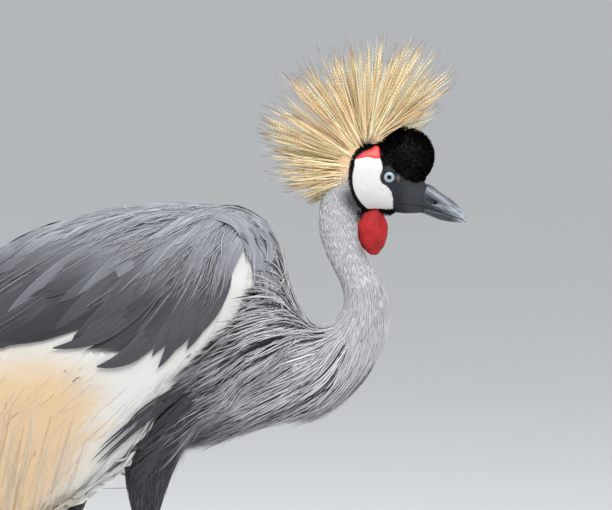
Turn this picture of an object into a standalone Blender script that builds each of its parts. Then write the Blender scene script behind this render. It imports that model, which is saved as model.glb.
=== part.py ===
"""Grey crowned crane, life size, standing with its neck drawn back.

Metres, +Z up, the bill towards +X and the bird's left side towards +Y. The origin is on the
floor under the middle of the whole outline. Stations and outlines below are in millimetres.
"""

import math

import bmesh
import bpy
import numpy as np

MM = 0.001
GAP = 0.3

# The feathered body: wings and mantle folded over the trunk, seen as one arched envelope.
# Each section is x, top, bottom, half width, and how square its lower half is (1 is round).
ENVELOPE = (
    (203, 522, 470, 12, 1.0),
    (199, 534, 452, 28, 1.0),
    (189, 548, 436, 42, 1.0),
    (178, 574, 424, 52, 1.0),
    (168, 614, 417, 60, 1.0),
    (148, 644, 410, 72, 1.0),
    (124, 656, 400, 84, 0.9),
    (84, 661, 388, 98, 0.6),
    (30, 659, 362, 109, 0.36),
    (-28, 652, 320, 113, 0.34),
    (-86, 637, 282, 111, 0.34),
    (-150, 604, 254, 104, 0.34),
    (-214, 566, 236, 93, 0.36),
    (-270, 518, 228, 78, 0.4),
    (-318, 454, 226, 62, 0.45),
    (-350, 384, 236, 44, 0.5),
    (-368, 338, 268, 20, 0.7),
)
WING_THICKNESS = 14.0
ENVELOPE_CORNERS = 16
BACK_SQUARENESS = 0.86
BELLY_TUCK = 0.06
WING_CLEAR = 220.0

# Outlines of the folded feather tracts in the side view, x and z.
MANTLE = (
    (148, 700),
    (148, 643),
    (128, 622),
    (116, 612),
    (113, 580),
    (100, 550),
    (77, 519),
    (67, 507),
    (33, 475),
    (-14, 503),
    (-30, 488),
    (-74, 507),
    (-132, 506),
    (-196, 492),
    (-240, 478),
    (-268, 505),
    (-262, 560),
    (-262, 700),
)
WHITE_COVERTS = (
    (112, 620),
    (132, 620),
    (143, 597),
    (142, 572),
    (124, 536),
    (99, 507),
    (61, 468),
    (49, 460),
    (31, 417),
    (1, 378),
    (-39, 350),
    (-78, 327),
    (-120, 390),
    (-235, 400),
    (-285, 440),
    (-262, 515),
    (-200, 530),
    (60, 540),
)
GOLD_PLUMES = (
    (-20, 460),
    (-68, 479),
    (-132, 479),
    (-190, 460),
    (-222, 412),
    (-214, 330),
    (-180, 285),
    (-118, 290),
    (-92, 312),
    (-66, 352),
    (-28, 412),
)
SECONDARIES = (
    (-112, 325),
    (-225, 468),
    (-245, 560),
    (-420, 560),
    (-420, 320),
    (-352, 270),
    (-300, 256),
    (-250, 252),
    (-190, 260),
    (-130, 285),
)

# The edge of all these together, behind which the trunk lies under the wings.
WING_EDGE = (
    (148, 700),
    (148, 643),
    (143, 597),
    (142, 572),
    (124, 536),
    (99, 507),
    (61, 468),
    (49, 460),
    (31, 417),
    (1, 378),
    (-39, 350),
    (-78, 327),
    (-130, 282),
    (-190, 200),
    (-420, 200),
    (-420, 700),
)

# Lofts along the body: x, y, z, half depth in the side view, half width across.
TRUNK = (
    (206, 0, 496, 16, 12),
    (190, 0, 504, 78, 46),
    (150, 0, 538, 113, 72),
    (100, 0, 534, 120, 94),
    (50, 0, 520, 120, 104),
    (0, 0, 508, 125, 106),
    (-50, 0, 505, 120, 100),
    (-100, 0, 508, 108, 88),
    (-150, 0, 512, 92, 70),
    (-200, 0, 514, 68, 50),
    (-246, 0, 512, 22, 20),
)
NECK = (
    (246, 0, 672, 24, 20),
    (236, 0, 654, 27.5, 21),
    (231.5, 0, 634, 25.5, 20.5),
    (235, 0, 608, 22.5, 19.5),
    (245.5, 0, 585, 21, 19),
    (256.5, 0, 563, 24, 20),
    (259.5, 0, 539, 28, 23),
    (252, 0, 514, 33, 27),
    (236.5, 0, 495, 39, 33),
    (213, 0, 480, 45.5, 41),
    (186, 0, 468, 50, 50),
)
NECK_JOINTS = (0.1, 0.4, 0.68, 1.0)
NECK_SAMPLES = 201
NECK_RINGS = 7
NECK_SIDES = 16
HACKLES = (
    (186, 0, 468, 50, 50),
    (164, 0, 453, 42, 54),
    (139, 0, 437, 31, 53),
    (111, 0, 419, 20, 47),
    (87, 0, 405, 10.5, 38),
    (66, 0, 396, 2.5, 26),
)
HEAD = (
    (221, 0, 684, 10, 8),
    (228, 0, 684, 26, 17),
    (243, 0, 684, 37, 23.5),
    (262, 0, 682, 37, 25.5),
    (280, 0, 676, 33, 23),
    (296, 0, 668, 26, 17.5),
    (309, 0, 662.5, 20.5, 13.5),
    (319.6, 0, 660.5, 17.8, 11.2),
)
CAP_CENTRE = (302, 0, 705)
CAP_RADII = (32, 23, 30)
CAP_TILT = math.radians(-18)
UPPER_BILL = (
    (320, 0, 665.5, 12.6, 10.8),
    (326, 0, 662.8, 11.6, 9.8),
    (335, 0, 658.2, 8.8, 8),
    (346, 0, 653.2, 7, 6.2),
    (356, 0, 647.2, 4.9, 4.8),
    (363, 0, 641, 3.4, 3.2),
    (367.2, 0, 634.8, 1.4, 1.2),
)
LOWER_BILL = (
    (320, 0, 647.6, 4.6, 9.2),
    (334, 0, 643.4, 4.9, 7.2),
    (348, 0, 639.4, 4.2, 5.2),
    (357, 0, 636.8, 2.5, 3.4),
    (362.6, 0, 634.8, 1.1, 1.4),
)
EYE_CENTRE = (284, 14.6, 683)
EYE_RADIUS = 8.6
WATTLE = (
    (271, 0, 650, 5, 5),
    (267.5, 0, 642, 12, 8.5),
    (266, 0, 630, 16, 11),
    (266.5, 0, 618, 14.5, 10.5),
    (268, 0, 606, 9, 7),
    (268.5, 0, 600.5, 3, 2.6),
)

# The crown of bristles: a fan about its root, angles measured from +X towards +Z.
CREST_ROOT = (250, 0, 706)
CREST_REACH = (
    (16, 62),
    (30, 112),
    (39, 141),
    (50, 147),
    (62, 143),
    (74, 137),
    (85, 137),
    (98, 127),
    (112, 126),
    (125, 117),
    (138, 119),
    (152, 112),
    (166, 110),
    (182, 99),
    (198, 91),
    (212, 86),
    (226, 76),
)
CREST_INNER = 8.0
CREST_SPREAD = math.radians(24)
CREST_RAGGED = 4.0
CREST_ROOT_HALF = 5.0
# Share of the reach and of the half width, from the root out to the rim.
CREST_BOW = ((0.55, 0.62), (0.84, 0.82), (0.96, 0.5))
CREST_STEPS = 23

# Legs: the right one is planted under the body, the left one trails a little behind it.
# Each station of a thigh is x, y, z, half depth, half width, and of a bone x, y, z, radius.
RIGHT_THIGH = (
    (56, -50, 486, 40, 22),
    (50, -51, 456, 43, 24),
    (40, -52, 424, 38, 24),
    (29, -52, 384, 29, 21),
    (25.5, -51, 345, 20, 17),
    (24.5, -50, 318, 13, 12.5),
    (23.5, -50, 300, 8.5, 8.5),
)
LEFT_THIGH = (
    (24, 50, 490, 38, 22),
    (14, 51, 462, 40, 24),
    (-2, 52, 432, 33, 23),
    (-17, 51, 402, 23, 18),
    (-29, 50, 376, 14, 13),
    (-35.5, 49, 359, 9.5, 9.5),
)
RIGHT_SHANK = ((23.4, -50, 299.6, 7.4), (12, -49, 262, 7.2), (3, -48.5, 232, 8), (0.5, -48, 223, 9))
LEFT_SHANK = (
    (-35.7, 49, 358.4, 8.8),
    (-48, 48.5, 336, 8.8),
    (-66, 48, 290, 7.8),
    (-82, 47.5, 248, 8.4),
    (-87, 47, 236, 9.4),
)
RIGHT_TARSUS = (
    (0.2, -48, 222.4, 9.4),
    (-3.5, -48, 212, 11),
    (-1, -48, 198, 8.4),
    (8, -48, 160, 6.2),
    (20, -48, 100, 5.8),
    (31, -48, 46, 6.2),
    (36, -48, 24, 8),
)
LEFT_TARSUS = (
    (-87.6, 47, 235.4, 9.8),
    (-90, 47, 224, 11),
    (-90, 47, 210, 8.6),
    (-91, 48, 170, 6.2),
    (-93, 49, 105, 5.8),
    (-95, 50, 48, 6.2),
    (-96, 50, 24, 8),
)
RIGHT_FOOT = (38.5, -48)
LEFT_FOOT = (-97, 50)

# Toes: name, angle from straight ahead towards the outer side, length, height of the root.
TOES = (
    ("middle", 2, 82, 10),
    ("outer", 34, 62, 9.5),
    ("inner", -32, 58, 9.5),
    ("hind", 172, 31, 11),
)
CLAW_LENGTH = 12.0
FOOT_HUB_RADIUS = 9.5
FOOT_HUB_RISE = 0.6

# Along a toe and along a claw: share of the length, height of the middle, radius.
TOE_PROFILE = ((0.25, 6.2, 5.0), (0.5, 4.6, 5.2), (0.75, 3.9, 4.4), (1.0, 3.3, 3.6))
TOE_ROOT_RADIUS = 6.5
CLAW_PROFILE = ((0.0, 3.4, 2.9), (0.4, 3.2, 2.3), (0.75, 2.2, 1.5), (1.0, 0.9, 0.6))

TAIL = (
    (-250, 0, 456, 7, 28),
    (-276, 0, 424, 7, 30),
    (-300, 0, 392, 5, 29),
    (-322, 0, 362, 3, 22),
)
PRIMARIES = (
    (-118, 58, 372, 16, 6),
    (-180, 56, 338, 20, 6),
    (-240, 46, 302, 16, 6),
    (-300, 29, 274, 11, 5.5),
    (-338, 13, 260, 6, 4.5),
    (-356, 7, 254, 2, 2.5),
)

GREY = (0.42, 0.44, 0.49, 1)
SLATE = (0.05, 0.053, 0.06, 1)
WHITE = (0.83, 0.83, 0.82, 1)
STRAW = (0.86, 0.66, 0.42, 1)
CHESTNUT = (0.07, 0.026, 0.013, 1)
BLACK = (0.008, 0.008, 0.01, 1)
RED = (0.48, 0.02, 0.03, 1)
HORN = (0.09, 0.1, 0.12, 1)
LEG = (0.055, 0.055, 0.06, 1)
IRIS = (0.45, 0.58, 0.68, 1)


def clear_scene():
    for obj in list(bpy.data.objects):
        bpy.data.objects.remove(obj)


def new_collection(name):
    group = bpy.data.collections.new(name)
    bpy.context.scene.collection.children.link(group)
    return group


def new_material(name, colour, roughness):
    material = bpy.data.materials.new(name)
    material.use_nodes = True
    shader = material.node_tree.nodes["Principled BSDF"]
    shader.inputs["Base Color"].default_value = colour
    shader.inputs["Roughness"].default_value = roughness
    shader.inputs["Metallic"].default_value = 0.0
    return material


def object_from(bm, name, group, material=None):
    bmesh.ops.recalc_face_normals(bm, faces=bm.faces)
    mesh = bpy.data.meshes.new(name)
    bm.to_mesh(mesh)
    bm.free()
    mesh.shade_smooth()
    mesh.set_sharp_from_angle(angle=math.radians(40))
    obj = bpy.data.objects.new(name, mesh)
    group.objects.link(obj)
    if material:
        mesh.materials.append(material)
    return obj


def hide_cutter(obj):
    obj.hide_render = True
    obj.display_type = "WIRE"
    return obj


def spline_through(stations, steps):
    """Points along a smooth curve through the stations, close to evenly spaced along it."""
    knots = np.array(stations, float)
    lengths = np.linalg.norm(np.diff(knots[:, :3], axis=0), axis=1)
    at_knot = np.concatenate([[0.0], np.cumsum(lengths)]) / lengths.sum()
    slopes = np.gradient(knots, at_knot, axis=0)
    places = np.linspace(0.0, 1.0, steps)
    rows = []
    for place in places:
        k = min(int(np.searchsorted(at_knot, place, side="right")) - 1, len(knots) - 2)
        span = at_knot[k + 1] - at_knot[k]
        t = (place - at_knot[k]) / span
        rows.append(
            (2 * t**3 - 3 * t**2 + 1) * knots[k]
            + (t**3 - 2 * t**2 + t) * span * slopes[k]
            + (3 * t**2 - 2 * t**3) * knots[k + 1]
            + (t**3 - t**2) * span * slopes[k + 1]
        )
    return np.array(rows)


def join_rings(bm, rings):
    """A closed skin over rings of equal size, with a flat cap at each end."""
    loops = [[bm.verts.new(point) for point in ring] for ring in rings]
    sides = len(loops[0])
    for ahead, behind in zip(loops, loops[1:]):
        for i in range(sides):
            j = (i + 1) % sides
            bm.faces.new((ahead[i], ahead[j], behind[j], behind[i]))
    bm.faces.new(loops[0])
    bm.faces.new(loops[-1])


def headings(path):
    """The direction of a path in the side view at each of its points."""
    heading = np.gradient(path[:, [0, 2]], axis=0)
    return heading / np.linalg.norm(heading, axis=1)[:, None]


def elliptic_rings(path, heading, sides):
    """Rings square to a path in the side view: x, y, z, half depth, half width."""
    rings = []
    for (x, y, z, depth, width), (run, rise) in zip(path, heading):
        ring = []
        for k in range(sides):
            angle = 2 * math.pi * k / sides
            out = depth * math.cos(angle)
            side = width * math.sin(angle)
            ring.append(((x - rise * out) * MM, (y + side) * MM, (z + run * out) * MM))
        rings.append(ring)
    return rings


def loft(name, stations, sides, steps, group, material=None):
    path = spline_through(stations, steps)
    bm = bmesh.new()
    join_rings(bm, elliptic_rings(path, headings(path), sides))
    return object_from(bm, name, group, material)


def mirrored(stations):
    return tuple((row[0], -row[1]) + tuple(row[2:]) for row in stations)


def bone_tube(name, stations, group, material, steps=7, roundness=2):
    """A round bone or toe as a tapered curve with filled caps, made a mesh with its caps welded."""
    path = spline_through(stations, steps)
    curve = bpy.data.curves.new(name, "CURVE")
    curve.dimensions = "3D"
    curve.bevel_depth = MM
    curve.bevel_resolution = roundness
    curve.use_fill_caps = True
    spline = curve.splines.new("POLY")
    spline.points.add(len(path) - 1)
    for point, (x, y, z, radius) in zip(spline.points, path):
        point.co = (x * MM, y * MM, z * MM, 1)
        point.radius = radius
    route = bpy.data.objects.new(name + "_route", curve)
    group.objects.link(route)
    bpy.context.view_layer.update()
    graph = bpy.context.evaluated_depsgraph_get()
    mesh = bpy.data.meshes.new_from_object(route.evaluated_get(graph))
    bm = bmesh.new()
    bm.from_mesh(mesh)
    bm.transform(route.matrix_world)
    bmesh.ops.remove_doubles(bm, verts=bm.verts, dist=1e-6)
    bpy.data.objects.remove(route)
    bpy.data.meshes.remove(mesh)
    return object_from(bm, name, group, material)


def ball(name, centre, radii, group, material=None, tilt=0.0, segments=12, rings=8):
    bm = bmesh.new()
    bmesh.ops.create_uvsphere(bm, u_segments=segments, v_segments=rings, radius=1.0)
    turn, rise = math.cos(tilt), math.sin(tilt)
    for vert in bm.verts:
        x, y, z = (value * radius for value, radius in zip(vert.co, radii))
        vert.co = (
            (centre[0] + x * turn - z * rise) * MM,
            (centre[1] + y) * MM,
            (centre[2] + x * rise + z * turn) * MM,
        )
    return object_from(bm, name, group, material)


def boolean(obj, other, operation):
    modifier = obj.modifiers.new(f"{operation} {other.name}", "BOOLEAN")
    modifier.operation = operation
    modifier.solver = "EXACT"
    modifier.object = other


def grown(source, distance, group):
    """A hidden copy of an uncut solid, a little larger, to cut room for it out of a neighbour."""
    copy = source.copy()
    copy.data = source.data.copy()
    copy.name = source.name + "_room"
    copy.modifiers.clear()
    group.objects.link(copy)
    swell = copy.modifiers.new("Room", "DISPLACE")
    swell.strength = distance * MM
    swell.mid_level = 0.0
    return hide_cutter(copy)


def envelope_section(row, inset, corners):
    """One upright section of the feathered body: a round back over sides that stay wide."""
    x, top, bottom, width, square = row
    middle = (top + bottom) / 2
    height = max((top - bottom) / 2 - inset, 2.0)
    width = max(width - inset, 2.0)
    ring = []
    for k in range(corners):
        angle = 2 * math.pi * k / corners
        power = BACK_SQUARENESS if math.cos(angle) >= 0 else square
        side = math.copysign(abs(math.sin(angle)) ** power, math.sin(angle))
        tuck = 1.0 + BELLY_TUCK * min(0.0, math.cos(angle))
        ring.append((x * MM, side * width * tuck * MM, (middle + height * math.cos(angle)) * MM))
    return ring


def feather_envelope(name, inset, group):
    """The whole outline of the feathered body, or one set in from it by a layer of feathers."""
    xs = [row[0] for row in ENVELOPE]
    centre = (max(xs) + min(xs)) / 2
    reach = (max(xs) - min(xs)) / 2
    rows = []
    for row in ENVELOPE:
        rows.append((centre + (row[0] - centre) * (reach - inset) / reach,) + row[1:])
    bm = bmesh.new()
    join_rings(bm, [envelope_section(row, inset, ENVELOPE_CORNERS) for row in rows])
    bmesh.ops.triangulate(bm, faces=bm.faces, quad_method="FIXED", ngon_method="BEAUTY")
    return hide_cutter(object_from(bm, name, group))


def side_prism(name, outline, near, far, group, clearance=0.0):
    """A side-view outline pushed through from one y to another, set out all round by a clearance."""
    points = np.array(outline, float)
    ahead = np.roll(points, -1, axis=0) - points
    ahead /= np.linalg.norm(ahead, axis=1)[:, None]
    behind = np.roll(ahead, 1, axis=0)
    following = np.roll(points, -1, axis=0)
    area = np.sum(points[:, 0] * following[:, 1] - points[:, 1] * following[:, 0])
    turn = 1.0 if area > 0 else -1.0
    out = (ahead + behind)[:, ::-1] * (turn, -turn)
    out /= np.maximum(np.sum(out * ahead[:, ::-1] * (turn, -turn), axis=1), 0.5)[:, None]
    points = points + out * clearance
    bm = bmesh.new()
    corners = [bm.verts.new((x * MM, near * MM, z * MM)) for x, z in points]
    face = bm.faces.new(corners)
    raised = bmesh.ops.extrude_face_region(bm, geom=[face])
    moved = [item for item in raised["geom"] if isinstance(item, bmesh.types.BMVert)]
    bmesh.ops.translate(bm, verts=moved, vec=(0, (far - near) * MM, 0))
    return hide_cutter(object_from(bm, name, group))


def tract(name, outline, span, cutters, group, material, inside, over=()):
    """A feather tract: the layer between the envelope and the trunk within a side-view outline."""
    near, far = span
    piece = feather_envelope(name, 0.0, group)
    piece.hide_render = False
    piece.display_type = "TEXTURED"
    piece.data.materials.append(material)
    boolean(piece, side_prism(name + "_outline", outline, near, far, cutters), "INTERSECT")
    boolean(piece, inside, "DIFFERENCE")
    for k, other in enumerate(over):
        room = side_prism(f"{name}_room_{k}", other, -WING_CLEAR, WING_CLEAR, cutters, GAP)
        boolean(piece, room, "DIFFERENCE")
    return piece


def build_wings(group, cutters, materials):
    inside = feather_envelope("wing_lining", WING_THICKNESS, cutters)
    both = (-WING_CLEAR, WING_CLEAR)
    tract("mantle", MANTLE, both, cutters, group, materials["grey"], inside)
    sides = (("right", (-WING_CLEAR, -GAP)), ("left", (GAP, WING_CLEAR)))
    for side, span in sides:
        tract(
            f"wing_gold_plumes_{side}", GOLD_PLUMES, span, cutters, group, materials["straw"],
            inside, (MANTLE,),
        )
        tract(
            f"wing_coverts_{side}", WHITE_COVERTS, span, cutters, group, materials["white"],
            inside, (MANTLE, GOLD_PLUMES),
        )
        tract(
            f"wing_secondaries_{side}", SECONDARIES, span, cutters, group, materials["chestnut"],
            inside, (MANTLE, GOLD_PLUMES, WHITE_COVERTS),
        )
        stations = PRIMARIES if side == "left" else mirrored(PRIMARIES)
        loft(f"wing_primaries_{side}", stations, 8, 8, group, materials["black"])


def wing_room(cutters):
    """All that the folded wings fill, as one cutter for the trunk."""
    room = side_prism("trunk_room", WING_EDGE, -WING_CLEAR, WING_CLEAR, cutters, GAP)
    boolean(room, feather_envelope("trunk_lining", WING_THICKNESS + GAP, cutters), "DIFFERENCE")
    return room


def build_trunk(group, cutters, materials):
    trunk = loft("trunk", TRUNK, 18, 12, group, materials["slate"])
    boolean(trunk, feather_envelope("trunk_outline", 0.0, cutters), "INTERSECT")
    boolean(trunk, wing_room(cutters), "DIFFERENCE")
    return trunk


def neck_lengths(group, materials):
    """The neck in three lengths along one curve, parted by a thin gap at each joint."""
    path = spline_through(NECK, NECK_SAMPLES)
    heading = headings(path)
    names = ("neck_upper", "neck_middle", "neck_lower")
    pieces = []
    for name, start, end in zip(names, NECK_JOINTS, NECK_JOINTS[1:]):
        picked = np.linspace(start, end, NECK_RINGS) * (NECK_SAMPLES - 1)
        picked = np.round(picked).astype(int)
        stations = path[picked].copy()
        stations[0, [0, 2]] += heading[picked[0]] * GAP / 2
        stations[-1, [0, 2]] -= heading[picked[-1]] * GAP / 2
        bm = bmesh.new()
        join_rings(bm, elliptic_rings(stations, heading[picked], NECK_SIDES))
        pieces.append(object_from(bm, name, group, materials["grey"]))
    return pieces


def crest_fan(group, material):
    """The crown of bristles as a ragged fan about its root."""
    angles = [row[0] for row in CREST_REACH]
    reaches = [row[1] for row in CREST_REACH]
    rings = []
    for k in range(CREST_STEPS):
        turn = np.interp(k, (0, CREST_STEPS - 1), (angles[0], angles[-1]))
        reach = np.interp(turn, angles, reaches) - CREST_RAGGED * (k % 2)
        half = reach * math.tan(CREST_SPREAD)
        bow = [(reach * share, half * spread) for share, spread in CREST_BOW]
        profile = [(CREST_INNER, -CREST_ROOT_HALF)]
        profile += [(r, -y) for r, y in bow]
        profile += [(reach, 0)]
        profile += bow[::-1]
        profile += [(CREST_INNER, CREST_ROOT_HALF)]
        along = (math.cos(math.radians(turn)), math.sin(math.radians(turn)))
        ring = []
        for r, y in profile:
            x = CREST_ROOT[0] + r * along[0]
            z = CREST_ROOT[2] + r * along[1]
            ring.append((x * MM, y * MM, z * MM))
        rings.append(ring)
    bm = bmesh.new()
    join_rings(bm, rings)
    return object_from(bm, "crest", group, material)


def build_head(group, cutters, materials):
    head = loft("head", HEAD, 16, 10, group, materials["white"])
    cap = ball("cap", CAP_CENTRE, CAP_RADII, group, materials["black"], CAP_TILT, 16, 9)
    crest = crest_fan(group, materials["straw"])
    upper = loft("bill_upper", UPPER_BILL, 12, 9, group, materials["horn"])
    lower = loft("bill_lower", LOWER_BILL, 10, 7, group, materials["horn"])
    wattle = loft("wattle", WATTLE, 12, 8, group, materials["red"])
    for side, sign in (("right", -1), ("left", 1)):
        centre = (EYE_CENTRE[0], sign * EYE_CENTRE[1], EYE_CENTRE[2])
        radii = (EYE_RADIUS, EYE_RADIUS, EYE_RADIUS)
        eye = ball(f"eye_{side}", centre, radii, group, materials["iris"], 0.0, 12, 8)
        boolean(head, grown(eye, GAP, cutters), "DIFFERENCE")
        boolean(cap, grown(eye, GAP, cutters), "DIFFERENCE")
    for piece in (wattle, upper, lower):
        boolean(head, grown(piece, GAP, cutters), "DIFFERENCE")
    head_solid = hide_cutter(loft("head_solid", HEAD, 16, 10, cutters))
    room = grown(head_solid, GAP, cutters)
    boolean(cap, room, "DIFFERENCE")
    boolean(cap, grown(upper, GAP, cutters), "DIFFERENCE")
    boolean(crest, room, "DIFFERENCE")
    cap_solid = ball("cap_solid", CAP_CENTRE, CAP_RADII, cutters, None, CAP_TILT, 16, 9)
    boolean(crest, grown(hide_cutter(cap_solid), GAP, cutters), "DIFFERENCE")
    return room, wattle


def toe_path(foot, angle, length, height, outward):
    """A toe from the hub down to the floor, a little thicker at each of its joints."""
    turn = math.radians(angle) * outward
    reach = (math.cos(turn), math.sin(turn))
    rows = []
    for share, z, radius in ((0.0, height, TOE_ROOT_RADIUS),) + TOE_PROFILE:
        run = share * length
        rows.append((foot[0] + run * reach[0], foot[1] + run * reach[1], z, radius))
    return rows, reach


def flatten_sole(obj):
    """Trims a toe level with the floor, which leaves a small flat to stand on."""
    bm = bmesh.new()
    bm.from_mesh(obj.data)
    cut = bmesh.ops.bisect_plane(
        bm, geom=bm.verts[:] + bm.edges[:] + bm.faces[:], plane_co=(0, 0, 0), plane_no=(0, 0, 1),
        clear_inner=True,
    )
    rim = [item for item in cut["geom_cut"] if isinstance(item, bmesh.types.BMEdge)]
    if rim:
        bmesh.ops.contextual_create(bm, geom=rim)
    bmesh.ops.recalc_face_normals(bm, faces=bm.faces)
    bm.to_mesh(obj.data)
    bm.free()


def foot_hub(name, foot, group, material=None):
    """The pad where the toes meet under the tarsus."""
    centre = (foot[0], foot[1], FOOT_HUB_RADIUS + FOOT_HUB_RISE)
    radii = (FOOT_HUB_RADIUS, FOOT_HUB_RADIUS * 0.9, FOOT_HUB_RADIUS)
    return ball(name, centre, radii, group, material)


def build_foot(side, foot, outward, group, cutters, materials):
    sole = foot_hub(f"foot_{side}", foot, group, materials["leg"])
    for name, angle, length, height in TOES:
        rows, reach = toe_path(foot, angle, length, height, outward)
        toe = bone_tube(f"toe_{side}_{name}", rows, cutters, None, 6, 1)
        flatten_sole(toe)
        boolean(sole, hide_cutter(toe), "UNION")
        tip = rows[-1]
        claw_rows = []
        for share, z, radius in CLAW_PROFILE:
            run = GAP + share * CLAW_LENGTH
            claw_rows.append((tip[0] + run * reach[0], tip[1] + run * reach[1], z, radius))
        claw = bone_tube(f"claw_{side}_{name}", claw_rows, group, materials["horn"], 4, 1)
        flatten_sole(claw)


def build_legs(group, cutters, materials, trunk_room):
    legs = (
        ("right", RIGHT_THIGH, RIGHT_SHANK, RIGHT_TARSUS, RIGHT_FOOT, -1),
        ("left", LEFT_THIGH, LEFT_SHANK, LEFT_TARSUS, LEFT_FOOT, 1),
    )
    for side, thigh_rows, shank_rows, tarsus_rows, foot, outward in legs:
        thigh = loft(f"thigh_{side}", thigh_rows, 14, 9, group, materials["slate"])
        boolean(thigh, trunk_room, "DIFFERENCE")
        shank = bone_tube(f"shank_{side}", shank_rows, group, materials["leg"])
        tarsus = bone_tube(f"tarsus_{side}", tarsus_rows, group, materials["leg"], 11)
        for piece in (thigh, tarsus):
            boolean(shank, grown(piece, GAP, cutters), "DIFFERENCE")
        build_foot(side, foot, outward, group, cutters, materials)
        hub = hide_cutter(foot_hub(f"hub_{side}", foot, cutters))
        boolean(tarsus, grown(hub, GAP, cutters), "DIFFERENCE")


def main():
    clear_scene()
    group = new_collection("grey_crowned_crane")
    cutters = new_collection("cutters")
    materials = {
        "grey": new_material("grey_feather", GREY, 0.7),
        "slate": new_material("slate_feather", SLATE, 0.7),
        "white": new_material("white_feather", WHITE, 0.7),
        "straw": new_material("straw_plume", STRAW, 0.65),
        "chestnut": new_material("chestnut_feather", CHESTNUT, 0.6),
        "black": new_material("black_feather", BLACK, 0.6),
        "red": new_material("red_wattle", RED, 0.55),
        "horn": new_material("bill_horn", HORN, 0.4),
        "leg": new_material("leg_scales", LEG, 0.5),
        "iris": new_material("iris", IRIS, 0.1),
    }
    build_wings(group, cutters, materials)
    trunk = build_trunk(group, cutters, materials)
    necks = neck_lengths(group, materials)
    hackles = loft("hackles", HACKLES, 16, 9, group, materials["grey"])
    head_room, wattle = build_head(group, cutters, materials)
    boolean(necks[0], head_room, "DIFFERENCE")
    boolean(necks[0], grown(wattle, GAP, cutters), "DIFFERENCE")
    boolean(hackles, grown(necks[2], GAP, cutters), "DIFFERENCE")
    for solid in (necks[2], hackles):
        boolean(trunk, grown(solid, 2 * GAP, cutters), "DIFFERENCE")
    trunk_solid = hide_cutter(loft("trunk_solid", TRUNK, 18, 12, cutters))
    build_legs(group, cutters, materials, grown(trunk_solid, GAP, cutters))
    loft("tail", TAIL, 10, 6, group, materials["black"])


if __name__ == "__main__":
    main()
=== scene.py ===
"""A grey crowned crane as a still, life-size model: its skin, coat of feathers, bare parts and stage."""

import math

import bmesh
import bpy
import numpy as np
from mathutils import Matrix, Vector
from mathutils.bvhtree import BVHTree


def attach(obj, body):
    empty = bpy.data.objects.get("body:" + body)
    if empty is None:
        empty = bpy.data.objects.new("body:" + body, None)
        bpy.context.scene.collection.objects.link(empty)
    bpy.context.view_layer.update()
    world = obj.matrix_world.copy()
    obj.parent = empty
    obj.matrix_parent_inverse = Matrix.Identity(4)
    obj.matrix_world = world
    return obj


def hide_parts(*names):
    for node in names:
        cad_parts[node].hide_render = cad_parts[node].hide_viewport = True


bl_info = {
    "name": "Grey Crowned Crane Model",
    "version": (1, 0, 0),
    "blender": (4, 5, 0),
    "location": "View3D > Sidebar > Crane",
    "description": "Builds the skin, the feathers, the bare parts and the stage of a life-size crane",
    "category": "Object",
}

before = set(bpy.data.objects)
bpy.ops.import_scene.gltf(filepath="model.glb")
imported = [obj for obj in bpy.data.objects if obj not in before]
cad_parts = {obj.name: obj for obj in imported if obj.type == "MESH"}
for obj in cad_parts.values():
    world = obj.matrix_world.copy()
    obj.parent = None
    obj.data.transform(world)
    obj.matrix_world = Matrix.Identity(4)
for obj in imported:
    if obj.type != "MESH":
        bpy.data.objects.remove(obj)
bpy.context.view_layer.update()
MM = 0.001
SIDES = {"right": -1, "left": 1}
ROOT_BODY = "root"

# Places on the side view are (x, z) in millimetres, in the model's own frame.
CHEEK = (
    (245, 684.7), (246, 672.2), (251, 660.7), (259, 651.3), (269, 646.0), (279, 643.9), (288, 646.6),
    (288.5, 657.5), (287, 666.9), (282.5, 673.7), (277, 676.9), (274.3, 683.7), (276.5, 691.0),
    (277, 696.2), (274.5, 703.5), (272, 705.6), (262, 706.6), (249, 703.5), (247, 695.2),
)
RED_PATCH = ((272.5, 720.2), (266, 714.0), (256, 709.8), (248.5, 703.0), (261, 705.1), (268, 703.5), (274.5, 705.1))
LORES = (
    (276, 691.0), (279, 695.7), (286, 696.2), (296, 688.9), (308, 679.5), (322, 677.4), (330, 677.4), (330, 638.7),
    (300, 641.9),
    (290, 643.9), (288.5, 657.5), (287, 666.9), (282.5, 673.7), (277, 676.9), (274.3, 683.7),
)
EYE_PLACE = (284.0, 14.6, 683.7)
EYE_RADIUS = 8.6
LID_OPENING = 6.5
LID_REACH = 12.5
LID_GAP = 0.15
# Line along the throat, under the jaw and the wattle, where the neck is darkened with painted shade.
THROAT_SHADE_LINE = ((245, 672), (253, 650), (266, 634), (264, 614))
CREST_ROOT = (250.0, 706.0)
CREST_REACH = (
    (14, 60), (30, 112), (39, 141), (50, 147), (62, 143), (74, 137), (85, 137), (98, 127), (112, 126), (125, 117),
    (138, 124), (152, 120), (166, 119), (182, 107), (198, 97), (212, 89), (226, 76),
)
CREST_SPREAD = 23.0
CREST_ROOTS = (
    (14, 268, 722), (60, 264, 722), (90, 259, 719), (120, 253, 713), (150, 247, 705), (180, 242, 695),
    (205, 239.5, 684),
    (226, 240, 674),
)
BLACK_FACE = (
    (294, 742), (276, 731), (262, 721), (251, 712), (244.5, 702), (242, 689), (243, 675), (247, 663), (254, 651),
    (264, 644), (272, 640), (285, 640), (300, 634), (350, 630), (350, 750),
)
MANTLE_EDGE = (
    (160, 720), (150, 643), (135, 628), (122, 620), (117, 612), (116.5, 597), (112, 576), (101.5, 547.5), (85.5, 526),
    (72, 512), (76, 527), (57, 527), (41, 484), (32, 500), (18, 500), (-6, 490), (5, 504), (-61, 511), (-7, 545),
    (-36, 533), (-75, 523), (-132, 509), (-196, 492), (-240, 478), (-275, 500), (-275, 720),
)
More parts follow.
